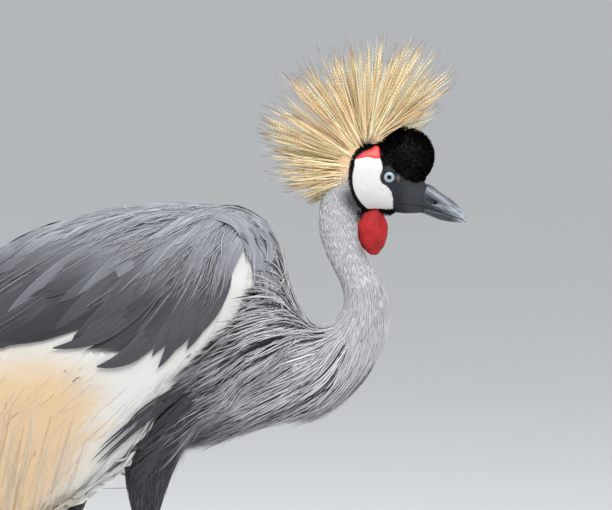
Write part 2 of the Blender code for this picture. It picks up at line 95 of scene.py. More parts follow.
WHITE_PANEL = (
    (125, 624), (135.5, 613), (143.5, 591), (142, 572), (135.5, 554), (119, 530), (95, 508), (71, 481.5), (53, 460),
    (47, 437), (28, 402), (0, 377), (-46, 348), (-95, 326), (-300, 326), (-300, 640), (60, 640),
)
COVERT_EDGE = (*WHITE_PANEL[:9], (44, 437), (25, 402), (-4, 377), (-50, 340), (-110, 240), (-420, 200), (-420, 700),
               (125, 700))
DRAPE = (
    (106, 660), (130, 652), (152, 638), (168, 618), (173, 600), (166, 580), (152, 566), (146, 590), (138, 610),
    (128, 624),
    (112, 634), (100, 645),
)
HACKLE_FAN = (
    (246, 500), (222, 540), (196, 552), (176, 570), (158, 556), (140, 500), (118, 452), (160, 425), (205, 432),
    (240, 460),
)
GOLD_PATCH = (
    (-20, 470), (-60, 497), (-110, 500), (-160, 490), (-200, 430), (-196, 340), (-150, 270), (-110, 290), (-70, 330),
    (-45, 370), (-24, 415), (-14, 445),
)

# Depth of the coat over the skin, and the zone whose colours it wears, by CAD node. A star is either side.
COAT_OVER = {
    "head": (0.8, "face"),
    "eye_*": (0.0, "face"),
    "bill_upper": (1.8, "face"),
    "bill_lower": (1.8, "face"),
    "cap": (1.2, "cap"),
    "neck_upper": (2.2, "neck"),
    "neck_middle": (3.0, "neck"),
    "neck_lower": (4.5, "neck"),
    "hackles": (10.0, "hackles"),
    "mantle": (6.5, "mantle"),
    "trunk": (7.0, "breast"),
    "tail": (2.0, "tail"),
    "wing_coverts_*": (6.5, "coverts"),
    "wing_gold_plumes_*": (7.0, "plumes"),
    "wing_secondaries_*": (5.0, "secondaries"),
    "wing_primaries_*": (2.0, "primaries"),
    "thigh_*": (4.0, "thigh"),
}
FLESH = {
    name.replace("*", side): coat for name, coat in COAT_OVER.items() for side in (SIDES if "*" in name else ("",))
}
ZONES = sorted({zone for _, zone in FLESH.values()})
SEAM_OVERLAP = 0.6
LEG_JOINTS = {
    "right": (((0.3, -48, 222.7), 7.5), ((37, -48, 18), 7), ((38.5, -48, 11), 7)),
    "left": (((-87.3, 47, 235.8), 7.5), ((-96.5, 50, 18), 7), ((-97, 50, 11), 7)),
}
FLESH_JOINTS = (
    ((-236, 0, 478), 17), ((-248, 0, 462), 13), ((238, 0, 682), 17), ((235, 0, 675), 18), ((231, 0, 667), 18.5),
    ((228, 0, 660), 19), ((320, 0, 669.5), 9.5), ((136, 0, 634), 15), ((132, 34, 620), 18), ((132, -34, 620), 18),
    ((142, 26, 612), 19),
    ((142, -26, 612), 19), ((146, 12, 622), 18), ((146, -12, 622), 18),
)
HIDDEN_SHARE = 0.3
BILL_BASE = 318.0
SKIN_END = 334.0
BILL_BASE_GROWTH = 0.4
GAPE = ((306, 653.8), (318, 652.6), (330, 649.0), (346, 643.2), (356, 639.6), (364, 636.4))
GAPE_FOLD = ((293, 655.5), *GAPE[:3])
BILL_GROOVE = ((318, 667), (332, 661), (345, 653))
# Lines of painted highlight along the culmen and along the side of the upper bill.
BILL_RIDGE_HIGHLIGHT = ((326, 670), (340, 661), (352, 650), (363, 640))
BILL_SIDE_HIGHLIGHT = ((326, 653), (338, 651.5), (348, 647), (358, 642))
NOSTRIL = (330.0, 656.4)
NOSTRIL_SPAN = (5.6, 2.7)
NOSTRIL_DEPTH = 3.6
NOSTRIL_SLOPE = math.radians(20)
LORE_BACK = 0.297
LORE_TOP = 0.69
HEAD_BACK = 0.236
HEAD_FOOT = 0.64

# Guides for the lie of the coat, each (x, z, dx, dz): a place and a heading on the side view.
LIE = {
    "neck": (
        (232, 668, 0.1, -1), (222, 640, 0.12, -1), (246, 615, 0.25, -0.97), (262, 575, 0.08, -1),
        (263, 556, 0.0, -1), (240, 560, 0.05, -1), (280, 540, -0.05, -1), (246, 505, -0.35, -0.94),
        (278, 500, -0.3, -0.95), (262, 470, -0.72, -0.69), (220, 496, -0.55, -0.83), (220, 453, -0.78, -0.62),
        (214, 520, -0.8, -0.4), (186, 440, -0.9, -0.42),
    ),
    "hackles": (
        (246, 505, -0.35, -0.94), (220, 496, -0.6, -0.8), (220, 453, -0.78, -0.62), (186, 453, -0.88, -0.47),
        (169, 488, -0.93, -0.36), (169, 521, -0.99, -0.1), (135, 436, -0.88, -0.47), (101, 419, -0.93, -0.37),
        (180, 420, -0.93, -0.36),
    ),
    "breast": (
        (190, 535, -0.95, 0.1), (165, 590, -0.9, -0.25), (150, 630, -0.6, -0.8), (150, 560, -0.97, -0.15),
        (169, 521, -0.99, -0.1), (130, 520, -0.93, -0.36), (110, 490, -0.88, -0.48), (80, 460, -0.86, -0.5),
        (50, 430, -0.84, -0.55), (10, 400, -0.9, -0.42), (-60, 400, -0.97, -0.2), (-200, 430, -0.95, -0.3),
    ),
    "mantle": (
        (-97, 607, -0.88, -0.47), (-26, 607, -0.85, -0.52), (-43, 545, -0.85, -0.53), (-8, 521, -0.82, -0.57),
        (28, 509, -0.75, -0.66), (54, 518, -0.5, -0.87), (90, 553, -0.42, -0.9), (107, 598, -0.3, -0.95),
        (45, 580, -0.6, -0.8), (10, 633, -0.87, -0.5), (90, 633, -0.6, -0.8), (120, 645, -0.5, -0.86),
        (-60, 650, -0.97, -0.24), (40, 660, -0.93, -0.36), (-200, 560, -0.83, -0.56), (-250, 510, -0.75, -0.66),
        (-150, 520, -0.86, -0.5),
    ),
    "drape": (
        (104, 654, 0.85, -0.5), (130, 645, 0.75, -0.66), (150, 628, 0.35, -0.94), (162, 604, -0.15, -0.99),
        (158, 580, -0.4, -0.92), (146, 600, -0.05, -1), (128, 630, 0.5, -0.87),
    ),
    "fan": (
        (246, 505, -0.5, -0.87), (222, 536, -0.8, -0.5), (200, 548, -0.97, -0.1), (180, 560, -0.97, 0.1),
        (169, 521, -0.99, -0.12), (140, 520, -0.95, -0.3), (169, 480, -0.92, -0.4), (130, 470, -0.88, -0.47),
        (190, 440, -0.9, -0.44), (100, 500, -0.9, -0.4), (100, 540, -0.95, -0.25),
    ),
    "coverts": (
        (128, 590, -0.3, -0.95), (120, 630, -0.1, -1), (100, 530, -0.5, -0.87), (80, 490, -0.66, -0.75),
        (40, 440, -0.72, -0.7), (0, 400, -0.7, -0.72), (-60, 350, -0.6, -0.8), (-40, 480, -0.75, -0.66),
        (-120, 490, -0.55, -0.83), (-220, 470, -0.5, -0.86), (-250, 500, -0.6, -0.8),
    ),
    "plumes": (
        (-60, 440, -0.3, -0.95), (-120, 440, -0.2, -0.98), (-190, 430, -0.25, -0.97), (-60, 360, -0.25, -0.97),
        (-130, 330, -0.2, -0.98), (-200, 340, -0.3, -0.95),
    ),
    "secondaries": (
        (-250, 480, -0.65, -0.76), (-300, 460, -0.55, -0.84), (-340, 400, -0.35, -0.94), (-300, 380, -0.55, -0.84),
        (-240, 380, -0.55, -0.84), (-150, 300, -0.7, -0.7), (-200, 290, -0.85, -0.5), (-300, 300, -0.7, -0.7),
        (-350, 320, -0.3, -0.95),
    ),
    "primaries": (
        (-200, 320, -0.85, -0.52), (-320, 265, -0.93, -0.37),
    ),
    "tail": (
        (-280, 420, -0.65, -0.76), (-320, 360, -0.6, -0.8),
    ),
    "thigh": (
        (45, 430, -0.1, -1), (30, 340, -0.1, -1), (-10, 430, -0.55, -0.83), (-35, 370, -0.4, -0.92),
    ),
    "face": (
        (228, 692, -0.1, -1), (224, 672, 0.05, -1), (250, 712, -0.6, 0.7), (243, 690, -0.8, -0.6),
        (244, 660, -0.3, -0.95), (262, 643, 0.2, -1), (280, 640, -0.6, -0.8), (300, 660, -0.9, -0.3),
        (300, 685, -0.9, 0.3), (290, 715, -0.8, 0.5),
    ),
    "cap": (
        (300, 740, -0.7, 0.7), (325, 700, 0.2, -1), (285, 715, -0.9, 0.3),
    ),
}

# Heights of the body's middle line, and the neck's place from front to back, as (at, value) in millimetres.
BODY_LINE = ((-370, 300), (-300, 350), (-200, 410), (-100, 450), (0, 490), (100, 520), (190, 500), (250, 600))
NECK_LINE = ((450, 190), (480, 236), (540, 259), (600, 240), (650, 232), (690, 250))

# Feathers that show one by one: root, middle and tip (x, z), then the widest width and the colour where they differ.
SCAPULARS = (
    ((30, 592), (-52, 541), (-140, 512), 30, "shadow"),
    ((-40, 598), (-100, 560), (-168, 520), 26, "dark"),
    ((35, 610), (-18.5, 569), (-72, 525), 19, "dark"),
    ((22, 580), (-8, 531), (-70, 508.5), 18, "dark"),
    ((54, 569), (24, 513), (-24, 489.5), 21, "dark"),
    ((68.5, 569), (61, 527), (40, 488), 15, "dark"),
    ((90, 590), (78, 540), (52, 503), 14, "dark"),
    ((104, 584), (88, 541), (70, 507), 14, "dark"),
    ((112, 612), (105, 562), (77.5, 518), 13, "dark"),
    ((0, 622), (-60, 590), (-118, 545), 18, "mid"),
    ((45, 632), (2, 602), (-50, 556), 15, "mid"),
    ((-60, 632), (-120, 603), (-176, 560), 18, "mid"),
)
SHOULDER_DRAPES = (
    ((84, 645), (112, 640), (127, 620)),
    ((96, 645), (124, 638), (138, 612)),
    ((108, 645), (134, 636), (149, 604)),
    ((116, 640), (138, 614), (144, 574)),
    ((126, 648), (152, 624), (151, 580)),
    ((134, 650), (160, 624), (158, 590)),
    ((143, 646), (168, 614), (172, 588)),
    ((108, 642), (128, 624), (136, 596)),
)
FLANK_PLUMES = (
    ((86, 480), (22, 430), (-25, 387), 8),
    ((70, 470), (30, 446), (10, 424), 7),
    ((96, 452), (36, 402), (-18, 364), 8),
    ((78, 436), (20, 376), (-34, 338), 6),
    ((60, 424), (24, 372), (-8, 334), 6),
    ((92, 470), (40, 420), (2, 378), 8),
    ((104, 478), (50, 442), (16, 402), 8),
)
SCAPULAR_STEPS = 14
LOCK_STEPS = 10


def linear(red, green, blue):
    """A screen colour of 0 to 255 as the scene's linear colour."""
    shares = [value / 255 for value in (red, green, blue)]
    return tuple(s / 12.92 if s <= 0.04045 else ((s + 0.055) / 1.055) ** 2.4 for s in shares)


def colour_setting(name, description, red, green, blue):
    return bpy.props.FloatVectorProperty(
        name=name, description=description, default=linear(red, green, blue), subtype="COLOR", min=0, max=1
    )


class CraneColours(bpy.types.PropertyGroup):
    """Colours of the coat and of the bare parts"""

    pale: colour_setting("Pale grey", "Neck and the pale edges of the back's feathers", 195, 195, 198)
    mid: colour_setting("Middle grey", "Back and hackles", 141, 144, 151)
    dark: colour_setting("Dark grey", "Lower feathers of the shoulder", 84, 86, 92)
    shadow: colour_setting("Charcoal", "Deepest feathers of the shoulder", 46, 48, 53)
    slate: colour_setting("Slate", "Breast, belly and thighs", 50, 52, 56)
    white: colour_setting("White", "Covert feathers of the wing", 202, 202, 199)
    straw: colour_setting("Straw", "Plumes that hang over the wing", 201, 174, 139)
    bristle: colour_setting("Bristle", "Crown of bristles", 255, 226, 184)
    chestnut: colour_setting("Chestnut", "Inner flight feathers", 70, 43, 34)
    black: colour_setting("Black", "Outer flight feathers, tail and velvet", 16, 16, 18)
    bare_white: colour_setting("Cheek", "Bare white skin", 208, 206, 205)
    bare_red: colour_setting("Red", "Bare red skin and wattle", 214, 40, 44)
    lore: colour_setting("Lores", "Dark skin between the eye and the bill", 47, 50, 56)
    horn: colour_setting("Bill", "Horn of the bill", 50, 54, 61)
    leg: colour_setting("Leg", "Scales of the legs", 44, 45, 48)
    iris: colour_setting("Iris", "Pale ring of the eye", 170, 187, 199)


class CraneCoat(bpy.types.PropertyGroup):
    """Sizes of the skin and the coat"""

    seed: bpy.props.IntProperty(name="Seed", description="Start of the coat's random draws", default=11)
    grain: bpy.props.FloatProperty(
        name="Skin grain", description="Width of the skin's faces before the head is refined", default=0.004,
        unit="LENGTH"
    )
    fullness: bpy.props.FloatProperty(
        name="Fullness", description="Share of the full number of feathers", default=1.0, min=0.05, max=1.0,
        subtype="FACTOR"
    )
    crest_bristles: bpy.props.IntProperty(name="Bristles", description="Number of bristles in the crown", default=820)
    crest_clumps: bpy.props.IntProperty(name="Clumps", description="Number of points that the bristles gather in",
                                        default=110)


class CraneStage(bpy.types.PropertyGroup):
    """Camera, light and floor"""

    distance: bpy.props.FloatProperty(
        name="Distance", description="From the camera to the bird", default=5.0, unit="LENGTH"
    )
    height: bpy.props.FloatProperty(
        name="Elevation", description="Angle by which the camera looks down", default=math.radians(4), subtype="ANGLE"
    )
    view_width: bpy.props.FloatProperty(
        name="View width", description="Width of the picture at the bird", default=0.6548, unit="LENGTH"
    )
    aim: bpy.props.FloatVectorProperty(
        name="Aim", description="Middle of the picture", default=(0.1954, 0.0, 0.5992), subtype="TRANSLATION"
    )


def colours():
    """The colour settings as arrays by name."""
    group = bpy.context.scene.crane_colours
    return {name: np.array(getattr(group, name)) for name in CraneColours.__annotations__}


# Shared measures and small mesh tools


def unit(vectors):
    return vectors / np.maximum(np.linalg.norm(vectors, axis=-1, keepdims=True), 1e-12)


def smooth_step(values, low, high):
    share = np.clip((values - low) / (high - low), 0, 1)
    return share * share * (3 - 2 * share)


def rounded_loop(corners, per_side=6):
    """A closed smooth curve through the corners of an outline."""
    corners = np.array(corners, float)
    before, after, far = (np.roll(corners, shift, 0) for shift in (1, -1, -2))
    steps = np.linspace(0, 1, per_side, endpoint=False)[:, None, None]
    curve = 0.5 * (
        2 * corners
        + (after - before) * steps
        + (2 * before - 5 * corners + 4 * after - far) * steps**2
        + (3 * corners - before - 3 * after + far) * steps**3
    )
    return curve.transpose(1, 0, 2).reshape(-1, 2)


def inside_distance(places, outline):
    """Distance to an outline, positive inside it."""
    places = np.asarray(places, float)
    best = np.full(len(places), 1e9)
    crossings = np.zeros(len(places), int)
    for start, end in zip(outline, np.roll(outline, -1, 0)):
        side = end - start
        share = np.clip(((places - start) @ side) / max(side @ side, 1e-12), 0, 1)
        best = np.minimum(best, np.linalg.norm(places - start - share[:, None] * side, axis=1))
        spans = (start[1] > places[:, 1]) != (end[1] > places[:, 1])
        rise = side[1] if abs(side[1]) > 1e-12 else 1e-12
        meets = start[0] + (places[:, 1] - start[1]) * side[0] / rise
        crossings += spans & (places[:, 0] < meets)
    return np.where(crossings % 2 == 1, best, -best)


def inside(places, corners, per_side=6):
    """Distance to the smooth curve through an outline's corners, positive inside it."""
    return inside_distance(places, rounded_loop(corners, per_side))


def from_line(places, line):
    """Distance from an open line, in the units of the places."""
    line = np.array(line, float)
    best = np.full(len(places), 1e9)
    for start, end in zip(line[:-1], line[1:]):
        side = end - start
        share = np.clip(((places - start) @ side) / (side @ side), 0, 1)
        best = np.minimum(best, np.linalg.norm(places - start - share[:, None] * side, axis=1))
    return best


def ridge_along(places, line, width):
    """One on a line, and falling to nothing over a width beside it."""
    return np.exp(-((from_line(places, line) / width) ** 2))


def side_view(points):
    """(x, z) in millimetres of points in metres."""
    return points[:, [0, 2]] / MM


def vertex_array(mesh):
    values = np.empty(len(mesh.vertices) * 3)
    mesh.vertices.foreach_get("co", values)
    return values.reshape(-1, 3)


def node_mesh(name, grow=0.0):
    """A merged copy of a CAD node, grown by a few tenths so that neighbours overlap."""
    part = bmesh.new()
    part.from_mesh(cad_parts[name].data)
    bmesh.ops.remove_doubles(part, verts=part.verts, dist=1e-5)
    part.normal_update()
    for vertex, normal in [(v, v.normal.copy()) for v in part.verts]:
        vertex.co += normal * grow
    return part


def add_object(name, mesh, material=None):
    obj = bpy.data.objects.new(name, mesh)
    bpy.context.scene.collection.objects.link(obj)
    if material is not None:
        mesh.materials.append(material)
    return obj


def remeshed(names, voxel, grow=0.0, rounds=2, joints=()):
    """One closed surface over CAD nodes, without its stray shells. Joints are balls that link them."""
    joined = bmesh.new()
    for place, radius in joints:
        ball = bmesh.ops.create_icosphere(joined, subdivisions=3, radius=radius * MM)
        bmesh.ops.translate(joined, verts=ball["verts"], vec=Vector(place) * MM)
    for name in names:
        part = node_mesh(name, grow)
        copy = bpy.data.meshes.new("copy")
        part.to_mesh(copy)
        part.free()
        joined.from_mesh(copy)
        bpy.data.meshes.remove(copy)
    mesh = bpy.data.meshes.new("joined")
    joined.to_mesh(mesh)
    joined.free()
    holder = add_object("joined", mesh)
    grain = holder.modifiers.new("grain", "REMESH")
    grain.mode = "VOXEL"
    grain.voxel_size = voxel
    made = bpy.data.meshes.new_from_object(holder.evaluated_get(bpy.context.evaluated_depsgraph_get()))
    bpy.data.objects.remove(holder)
    bpy.data.meshes.remove(mesh)
    surface = bmesh.new()
    surface.from_mesh(made)
    bpy.data.meshes.remove(made)
    keep_largest_shell(surface)
    for _ in range(rounds):
        soften(surface, surface.verts)
    return surface


def keep_largest_shell(surface):
    seen, shells = set(), []
    for first in surface.verts:
        if first in seen:
            continue
        seen.add(first)
        shell, edge = [first], [first]
        while edge:
            vertex = edge.pop()
            for link in vertex.link_edges:
                other = link.other_vert(vertex)
                if other not in seen:
                    seen.add(other)
                    shell.append(other)
                    edge.append(other)
        shells.append(shell)
    shells.sort(key=len)
    for shell in shells[:-1]:
        bmesh.ops.delete(surface, geom=shell, context="VERTS")


def soften(surface, verts, factor=0.5):
    bmesh.ops.smooth_vert(
        surface, verts=list(verts), factor=factor, use_axis_x=True, use_axis_y=True, use_axis_z=True
    )


def refine(surface, wanted):
    """Divides the faces whose middle is wanted."""
    edges = {edge for face in surface.faces if wanted(face.calc_center_median()) for edge in face.edges}
    bmesh.ops.subdivide_edges(surface, edges=list(edges), cuts=1, use_grid_fill=True)


def finish_mesh(surface, name, material):
    """Writes a bmesh to a smooth-shaded object."""
    bmesh.ops.triangulate(surface, faces=[face for face in surface.faces if len(face.verts) > 4])
    surface.normal_update()
    mesh = bpy.data.meshes.new(name)
    surface.to_mesh(mesh)
    surface.free()
    mesh.polygons.foreach_set("use_smooth", np.ones(len(mesh.polygons), bool))
    return add_object(name, mesh, material)


def write_attribute(mesh, name, kind, values):
    attribute = mesh.attributes.new(name, kind, "POINT")
    field = {"FLOAT_COLOR": "color", "FLOAT_VECTOR": "vector", "FLOAT": "value"}[kind]
    attribute.data.foreach_set(field, np.ascontiguousarray(values, np.float32).ravel())


def write_tint(mesh, colour):
    write_attribute(mesh, "tint", "FLOAT_COLOR", np.concatenate([colour, np.ones((len(colour), 1))], 1))


# Materials


def node_tree_of(name):
    material = bpy.data.materials.new(name)
    material.use_nodes = True
    tree = material.node_tree
    return material, tree, tree.nodes["Principled BSDF"]


def fill(tree, node, **inputs):
    """Links a socket, or sets a plain value, on a node's inputs: _2 is an input's index, and Base_Color its name."""
    for name, value in inputs.items():
        socket = node.inputs[int(name[1:]) if name.startswith("_") else name.replace("_", " ")]
        if isinstance(value, bpy.types.NodeSocket):
            tree.links.new(value, socket)
        else:
            socket.default_value = value
    return node


def add_node(tree, kind, **inputs):
    return fill(tree, tree.nodes.new(kind), **inputs)


def maths(tree, operation, first, second=0.0, clamp=False):
    node = add_node(tree, "ShaderNodeMath", _0=first, _1=second)
    node.operation = operation
    node.use_clamp = clamp
    return node.outputs[0]


def mixed_colour(tree, factor, first, second, how="MIX"):
    node = tree.nodes.new("ShaderNodeMix")
    node.data_type = "RGBA"
    node.blend_type = how
    for index, value in ((0, factor), (6, first), (7, second)):
        if isinstance(value, bpy.types.NodeSocket):
            tree.links.new(value, node.inputs[index])
        else:
            node.inputs[index].default_value = value if index == 0 else (*tuple(value)[:3], 1)
    return node.outputs[2]


def stepped(tree, value, low, high, out_low=0.0, out_high=1.0):
    node = add_node(
        tree, "ShaderNodeMapRange", Value=value, _1=low, _2=high, _3=out_low, _4=out_high
    )
    node.interpolation_type = "SMOOTHSTEP"
    return node.outputs[0]


def attribute(tree, name, output="Fac"):
    node = tree.nodes.new("ShaderNodeAttribute")
    node.attribute_name = name
    return node.outputs[output]


def bump(tree, height, strength, distance):
    return add_node(tree, "ShaderNodeBump", Strength=strength, Distance=distance, Height=height).outputs[0]


def object_noise(tree, scale, detail=3.0, stretch=(1, 1, 1), slope=0.0):
    """Noise in the model's frame, drawn out along each axis by its stretch, and turned nose down by the slope."""
    place = tree.nodes.new("ShaderNodeTexCoord").outputs["Object"]
    mapping = add_node(tree, "ShaderNodeMapping", Vector=place, Rotation=(0, slope, 0), Scale=stretch)
    mapping.vector_type = "TEXTURE"
    return add_node(tree, "ShaderNodeTexNoise", Vector=mapping.outputs[0], Scale=scale, Detail=detail).outputs[0]


def new_group(name, inputs, outputs):
    tree = bpy.data.node_groups.new(name, "ShaderNodeTree")
    for label, kind, value in inputs:
        socket = tree.interface.new_socket(label, in_out="INPUT", socket_type=kind)
        if value is not None:
            socket.default_value = value
    for label, kind in outputs:
        tree.interface.new_socket(label, in_out="OUTPUT", socket_type=kind)
    return tree, tree.nodes.new("NodeGroupInput"), tree.nodes.new("NodeGroupOutput")


def vane_group():
    """The barbs, the pale edge and the streaks of one feather, from its own across and along measures."""
    tree, given, result = new_group(
        "feather_vane",
        (
            ("Edge Light", "NodeSocketFloat", 0.2),
            ("Edge Start", "NodeSocketFloat", 0.6),
            ("Streaks", "NodeSocketFloat", 0.3),
            ("Barbs", "NodeSocketFloat", 60.0),
        ),
        (("Color", "NodeSocketColor"), ("Height", "NodeSocketFloat")),
    )
    vane = tree.nodes.new("ShaderNodeSeparateXYZ")
    tree.links.new(attribute(tree, "vane", "Vector"), vane.inputs[0])
    across, along, seed = vane.outputs
    off_centre = maths(tree, "ABSOLUTE", across)
    spread = {axis: maths(tree, "MULTIPLY", value, scale) for axis, value, scale in (
        ("X", across, 3.2), ("Y", along, 1.4), ("Z", seed, 37.0)
    )}
    stretched = add_node(tree, "ShaderNodeCombineXYZ", **spread)
    streak = add_node(tree, "ShaderNodeTexNoise", Vector=stretched.outputs[0], Scale=2.4, Detail=3.0).outputs[0]
    light = stepped(tree, streak, 0.3, 0.7, -1.0, 1.0)
    gain = maths(tree, "MULTIPLY", light, given.outputs["Streaks"])
    edge = add_node(tree, "ShaderNodeMapRange", Value=off_centre, _1=given.outputs["Edge Start"]).outputs[0]
    gain = maths(tree, "ADD", gain, maths(tree, "MULTIPLY", edge, given.outputs["Edge Light"]))
    gain = maths(tree, "ADD", gain, 1.0)
    scaled = tree.nodes.new("ShaderNodeVectorMath")
    scaled.operation = "SCALE"
    fill(tree, scaled, _0=attribute(tree, "tint", "Color"), Scale=gain)
    slant = maths(tree, "ADD", along, maths(tree, "MULTIPLY", off_centre, 0.25))
    barbs = maths(tree, "SINE", maths(tree, "MULTIPLY", slant, given.outputs["Barbs"]))
    fill(tree, result, Color=scaled.outputs[0], Height=maths(tree, "ADD", maths(tree, "MULTIPLY", barbs, 0.35), streak))
    return tree


def feather_material(name, edge_light, edge_start, streaks, barbs, roughness, sheen, relief):
    """A coat material: the group gives the colour and relief, and the shader its softness."""
    material, tree, shader = node_tree_of(name)
    group = tree.nodes.new("ShaderNodeGroup")
    group.node_tree = bpy.data.node_groups.get("feather_vane") or vane_group()
    fill(tree, group, Edge_Light=edge_light, Edge_Start=edge_start, Streaks=streaks, Barbs=barbs)
    normal = bump(tree, group.outputs["Height"], relief, 0.0004)
    fill(tree, shader, Base_Color=group.outputs["Color"], Normal=normal, Roughness=roughness, Sheen_Weight=sheen,
         Sheen_Roughness=0.5, Specular_IOR_Level=0.3)
    return material


def bristle_material():
    """Twisted bristles: fine dark rings of painted shade where the twist turns its edge, and a soft gloss."""
    material, tree, shader = node_tree_of("crown_bristles")
    vane = tree.nodes.new("ShaderNodeSeparateXYZ")
    tree.links.new(attribute(tree, "vane", "Vector"), vane.inputs[0])
    turn = maths(tree, "ADD", maths(tree, "MULTIPLY", vane.outputs[1], 190.0),
                 maths(tree, "MULTIPLY", vane.outputs[2], 40.0))
    ring = maths(tree, "SINE", maths(tree, "ADD", turn, maths(tree, "MULTIPLY", vane.outputs[0], 1.2)))
    # Dark rings of painted shade where the twist turns its edge.
    twist_shade = maths(tree, "MULTIPLY", stepped(tree, ring, -0.7, 0.6, 1.0, 0.0), stepped(tree, vane.outputs[1], 0.15, 0.5))
    tint = attribute(tree, "tint", "Color")
    dark = mixed_colour(tree, 1.0, tint, linear(200, 176, 142), "MULTIPLY")
    base = mixed_colour(tree, maths(tree, "MULTIPLY", twist_shade, 0.7), tint, dark)
    fill(tree, shader, Base_Color=base, Normal=bump(tree, ring, 0.4, 0.0003), Roughness=0.5, Sheen_Weight=0.15)
    return material


def skin_material():
    """Skin in its zone's colour, with the bare cheek and the red patch edged by their own outlines."""
    shades = colours()
    material, tree, shader = node_tree_of("skin")
    grain = object_noise(tree, 900, 4)
    fine = object_noise(tree, 2600, 2)
    wander = maths(tree, "MULTIPLY", maths(tree, "SUBTRACT", grain, 0.5), 0.7)
    cheek = stepped(tree, maths(tree, "ADD", attribute(tree, "cheek"), wander), -0.25, 0.25)
    red = stepped(tree, maths(tree, "ADD", attribute(tree, "red"), wander), -0.25, 0.35)
    base = mixed_colour(tree, stepped(tree, grain, 0.35, 0.7, 0.0, 0.35), attribute(tree, "tint", "Color"), (0, 0, 0))
    mottled = mixed_colour(tree, stepped(tree, object_noise(tree, 160, 3), 0.4, 0.7), shades["bare_white"],
                           shades["bare_white"] * np.array((0.96, 0.94, 0.93)))
    flushed = mixed_colour(tree, stepped(tree, attribute(tree, "red"), -6.0, 0.5), mottled, (0.8, 0.62, 0.6))
    base = mixed_colour(tree, cheek, base, flushed)
    lit_red = mixed_colour(tree, stepped(tree, attribute(tree, "red"), 0.5, 4.5), shades["bare_red"],
                           np.array(linear(255, 108, 104)))
    base = mixed_colour(tree, red, base, lit_red)
    normal = bump(tree, maths(tree, "ADD", grain, fine), 0.35, 0.0003)
    fill(tree, shader, Base_Color=base, Normal=normal, Roughness=0.62, Specular_IOR_Level=0.35)
    return material


def wattle_material():
    shades = colours()
    material, tree, shader = node_tree_of("wattle_skin")
    place = tree.nodes.new("ShaderNodeTexCoord").outputs["Object"]
    cells = add_node(tree, "ShaderNodeTexVoronoi", Vector=place, Scale=1900.0)
    folds = object_noise(tree, 130, 3, (1, 1, 1.6))
    deep = mixed_colour(tree, stepped(tree, folds, 0.3, 0.7), shades["bare_red"] * 0.4, shades["bare_red"] * 0.64)
    base = mixed_colour(tree, stepped(tree, cells.outputs["Distance"], 0.1, 0.75, 0.16, 0.0), deep, (0.5, 0.045, 0.04))
    height = maths(tree, "ADD", maths(tree, "MULTIPLY", cells.outputs["Distance"], -0.6), folds)
    fill(tree, shader, Base_Color=base, Normal=bump(tree, height, 0.6, 0.0006), Roughness=0.55, Specular_IOR_Level=0.25)
    return material


def horn_material():
    """Bill: dark slate horn, paler at the tip, with painted highlight along the culmen and the side, and fine growth
    lines.
    """
    shades = colours()
    material, tree, shader = node_tree_of("bill_horn")
    lines = object_noise(tree, 260, 4, (2.9, 0.8, 0.4), 0.58)
    patches = object_noise(tree, 90, 3)
    pale = np.array(linear(186, 192, 202))
    base = mixed_colour(tree, stepped(tree, patches, 0.35, 0.7, 0.0, 0.6), shades["horn"], shades["lore"])
    # Paler tip, and painted highlight along the culmen and the side, broken up by the growth lines.
    paler_tip_and_highlight = maths(tree, "MULTIPLY", attribute(tree, "pale"), stepped(tree, lines, 0.3, 0.62, 0.25, 1.0), True)
    base = mixed_colour(tree, paler_tip_and_highlight, base, pale)
    base = mixed_colour(tree, stepped(tree, lines, 0.45, 0.75, 0.0, 0.35), base, shades["lore"] * 0.6)
    # Near black in the nostril and along the seam between the mandibles: painted shade.
    base = mixed_colour(tree, stepped(tree, attribute(tree, "pit"), 0.3, 0.55), base, (0.003, 0.003, 0.003))
    gloss = stepped(tree, patches, 0.3, 0.7, 0.3, 0.42)
    normal = bump(tree, lines, 0.25, 0.0004)
    fill(tree, shader, Base_Color=base, Normal=normal, Roughness=gloss, Specular_IOR_Level=0.4)
    return material


def leg_material():
    shades = colours()
    material, tree, shader = node_tree_of("leg_scales")
    place = tree.nodes.new("ShaderNodeTexCoord").outputs["Object"]
    mapping = add_node(tree, "ShaderNodeMapping", Vector=place, Scale=(1.0, 1.0, 0.75))
    cells = add_node(tree, "ShaderNodeTexVoronoi", Vector=mapping.outputs[0], Scale=330.0)
    cells.feature = "DISTANCE_TO_EDGE"
    edge = stepped(tree, cells.outputs["Distance"], 0.0, 0.14)
    plate = stepped(tree, attribute(tree, "scute"), 0.0, 1.0)
    groove = maths(tree, "MINIMUM", edge, plate)
    dust = object_noise(tree, 70, 4)
    base = mixed_colour(tree, stepped(tree, dust, 0.35, 0.7), shades["leg"], shades["leg"] * 1.9)
    base = mixed_colour(tree, groove, shades["leg"] * 0.3, base)
    fill(tree, shader, Base_Color=base, Normal=bump(tree, groove, 0.7, 0.0006), Roughness=0.55)
    return material


def claw_material():
    material, tree, shader = node_tree_of("claw_horn")
    lines = object_noise(tree, 500, 3)
    base = mixed_colour(tree, stepped(tree, lines, 0.35, 0.7), linear(24, 24, 26), linear(58, 57, 58))
    fill(tree, shader, Base_Color=base, Normal=bump(tree, lines, 0.3, 0.0002), Roughness=0.35, Coat_Weight=0.2)
    return material


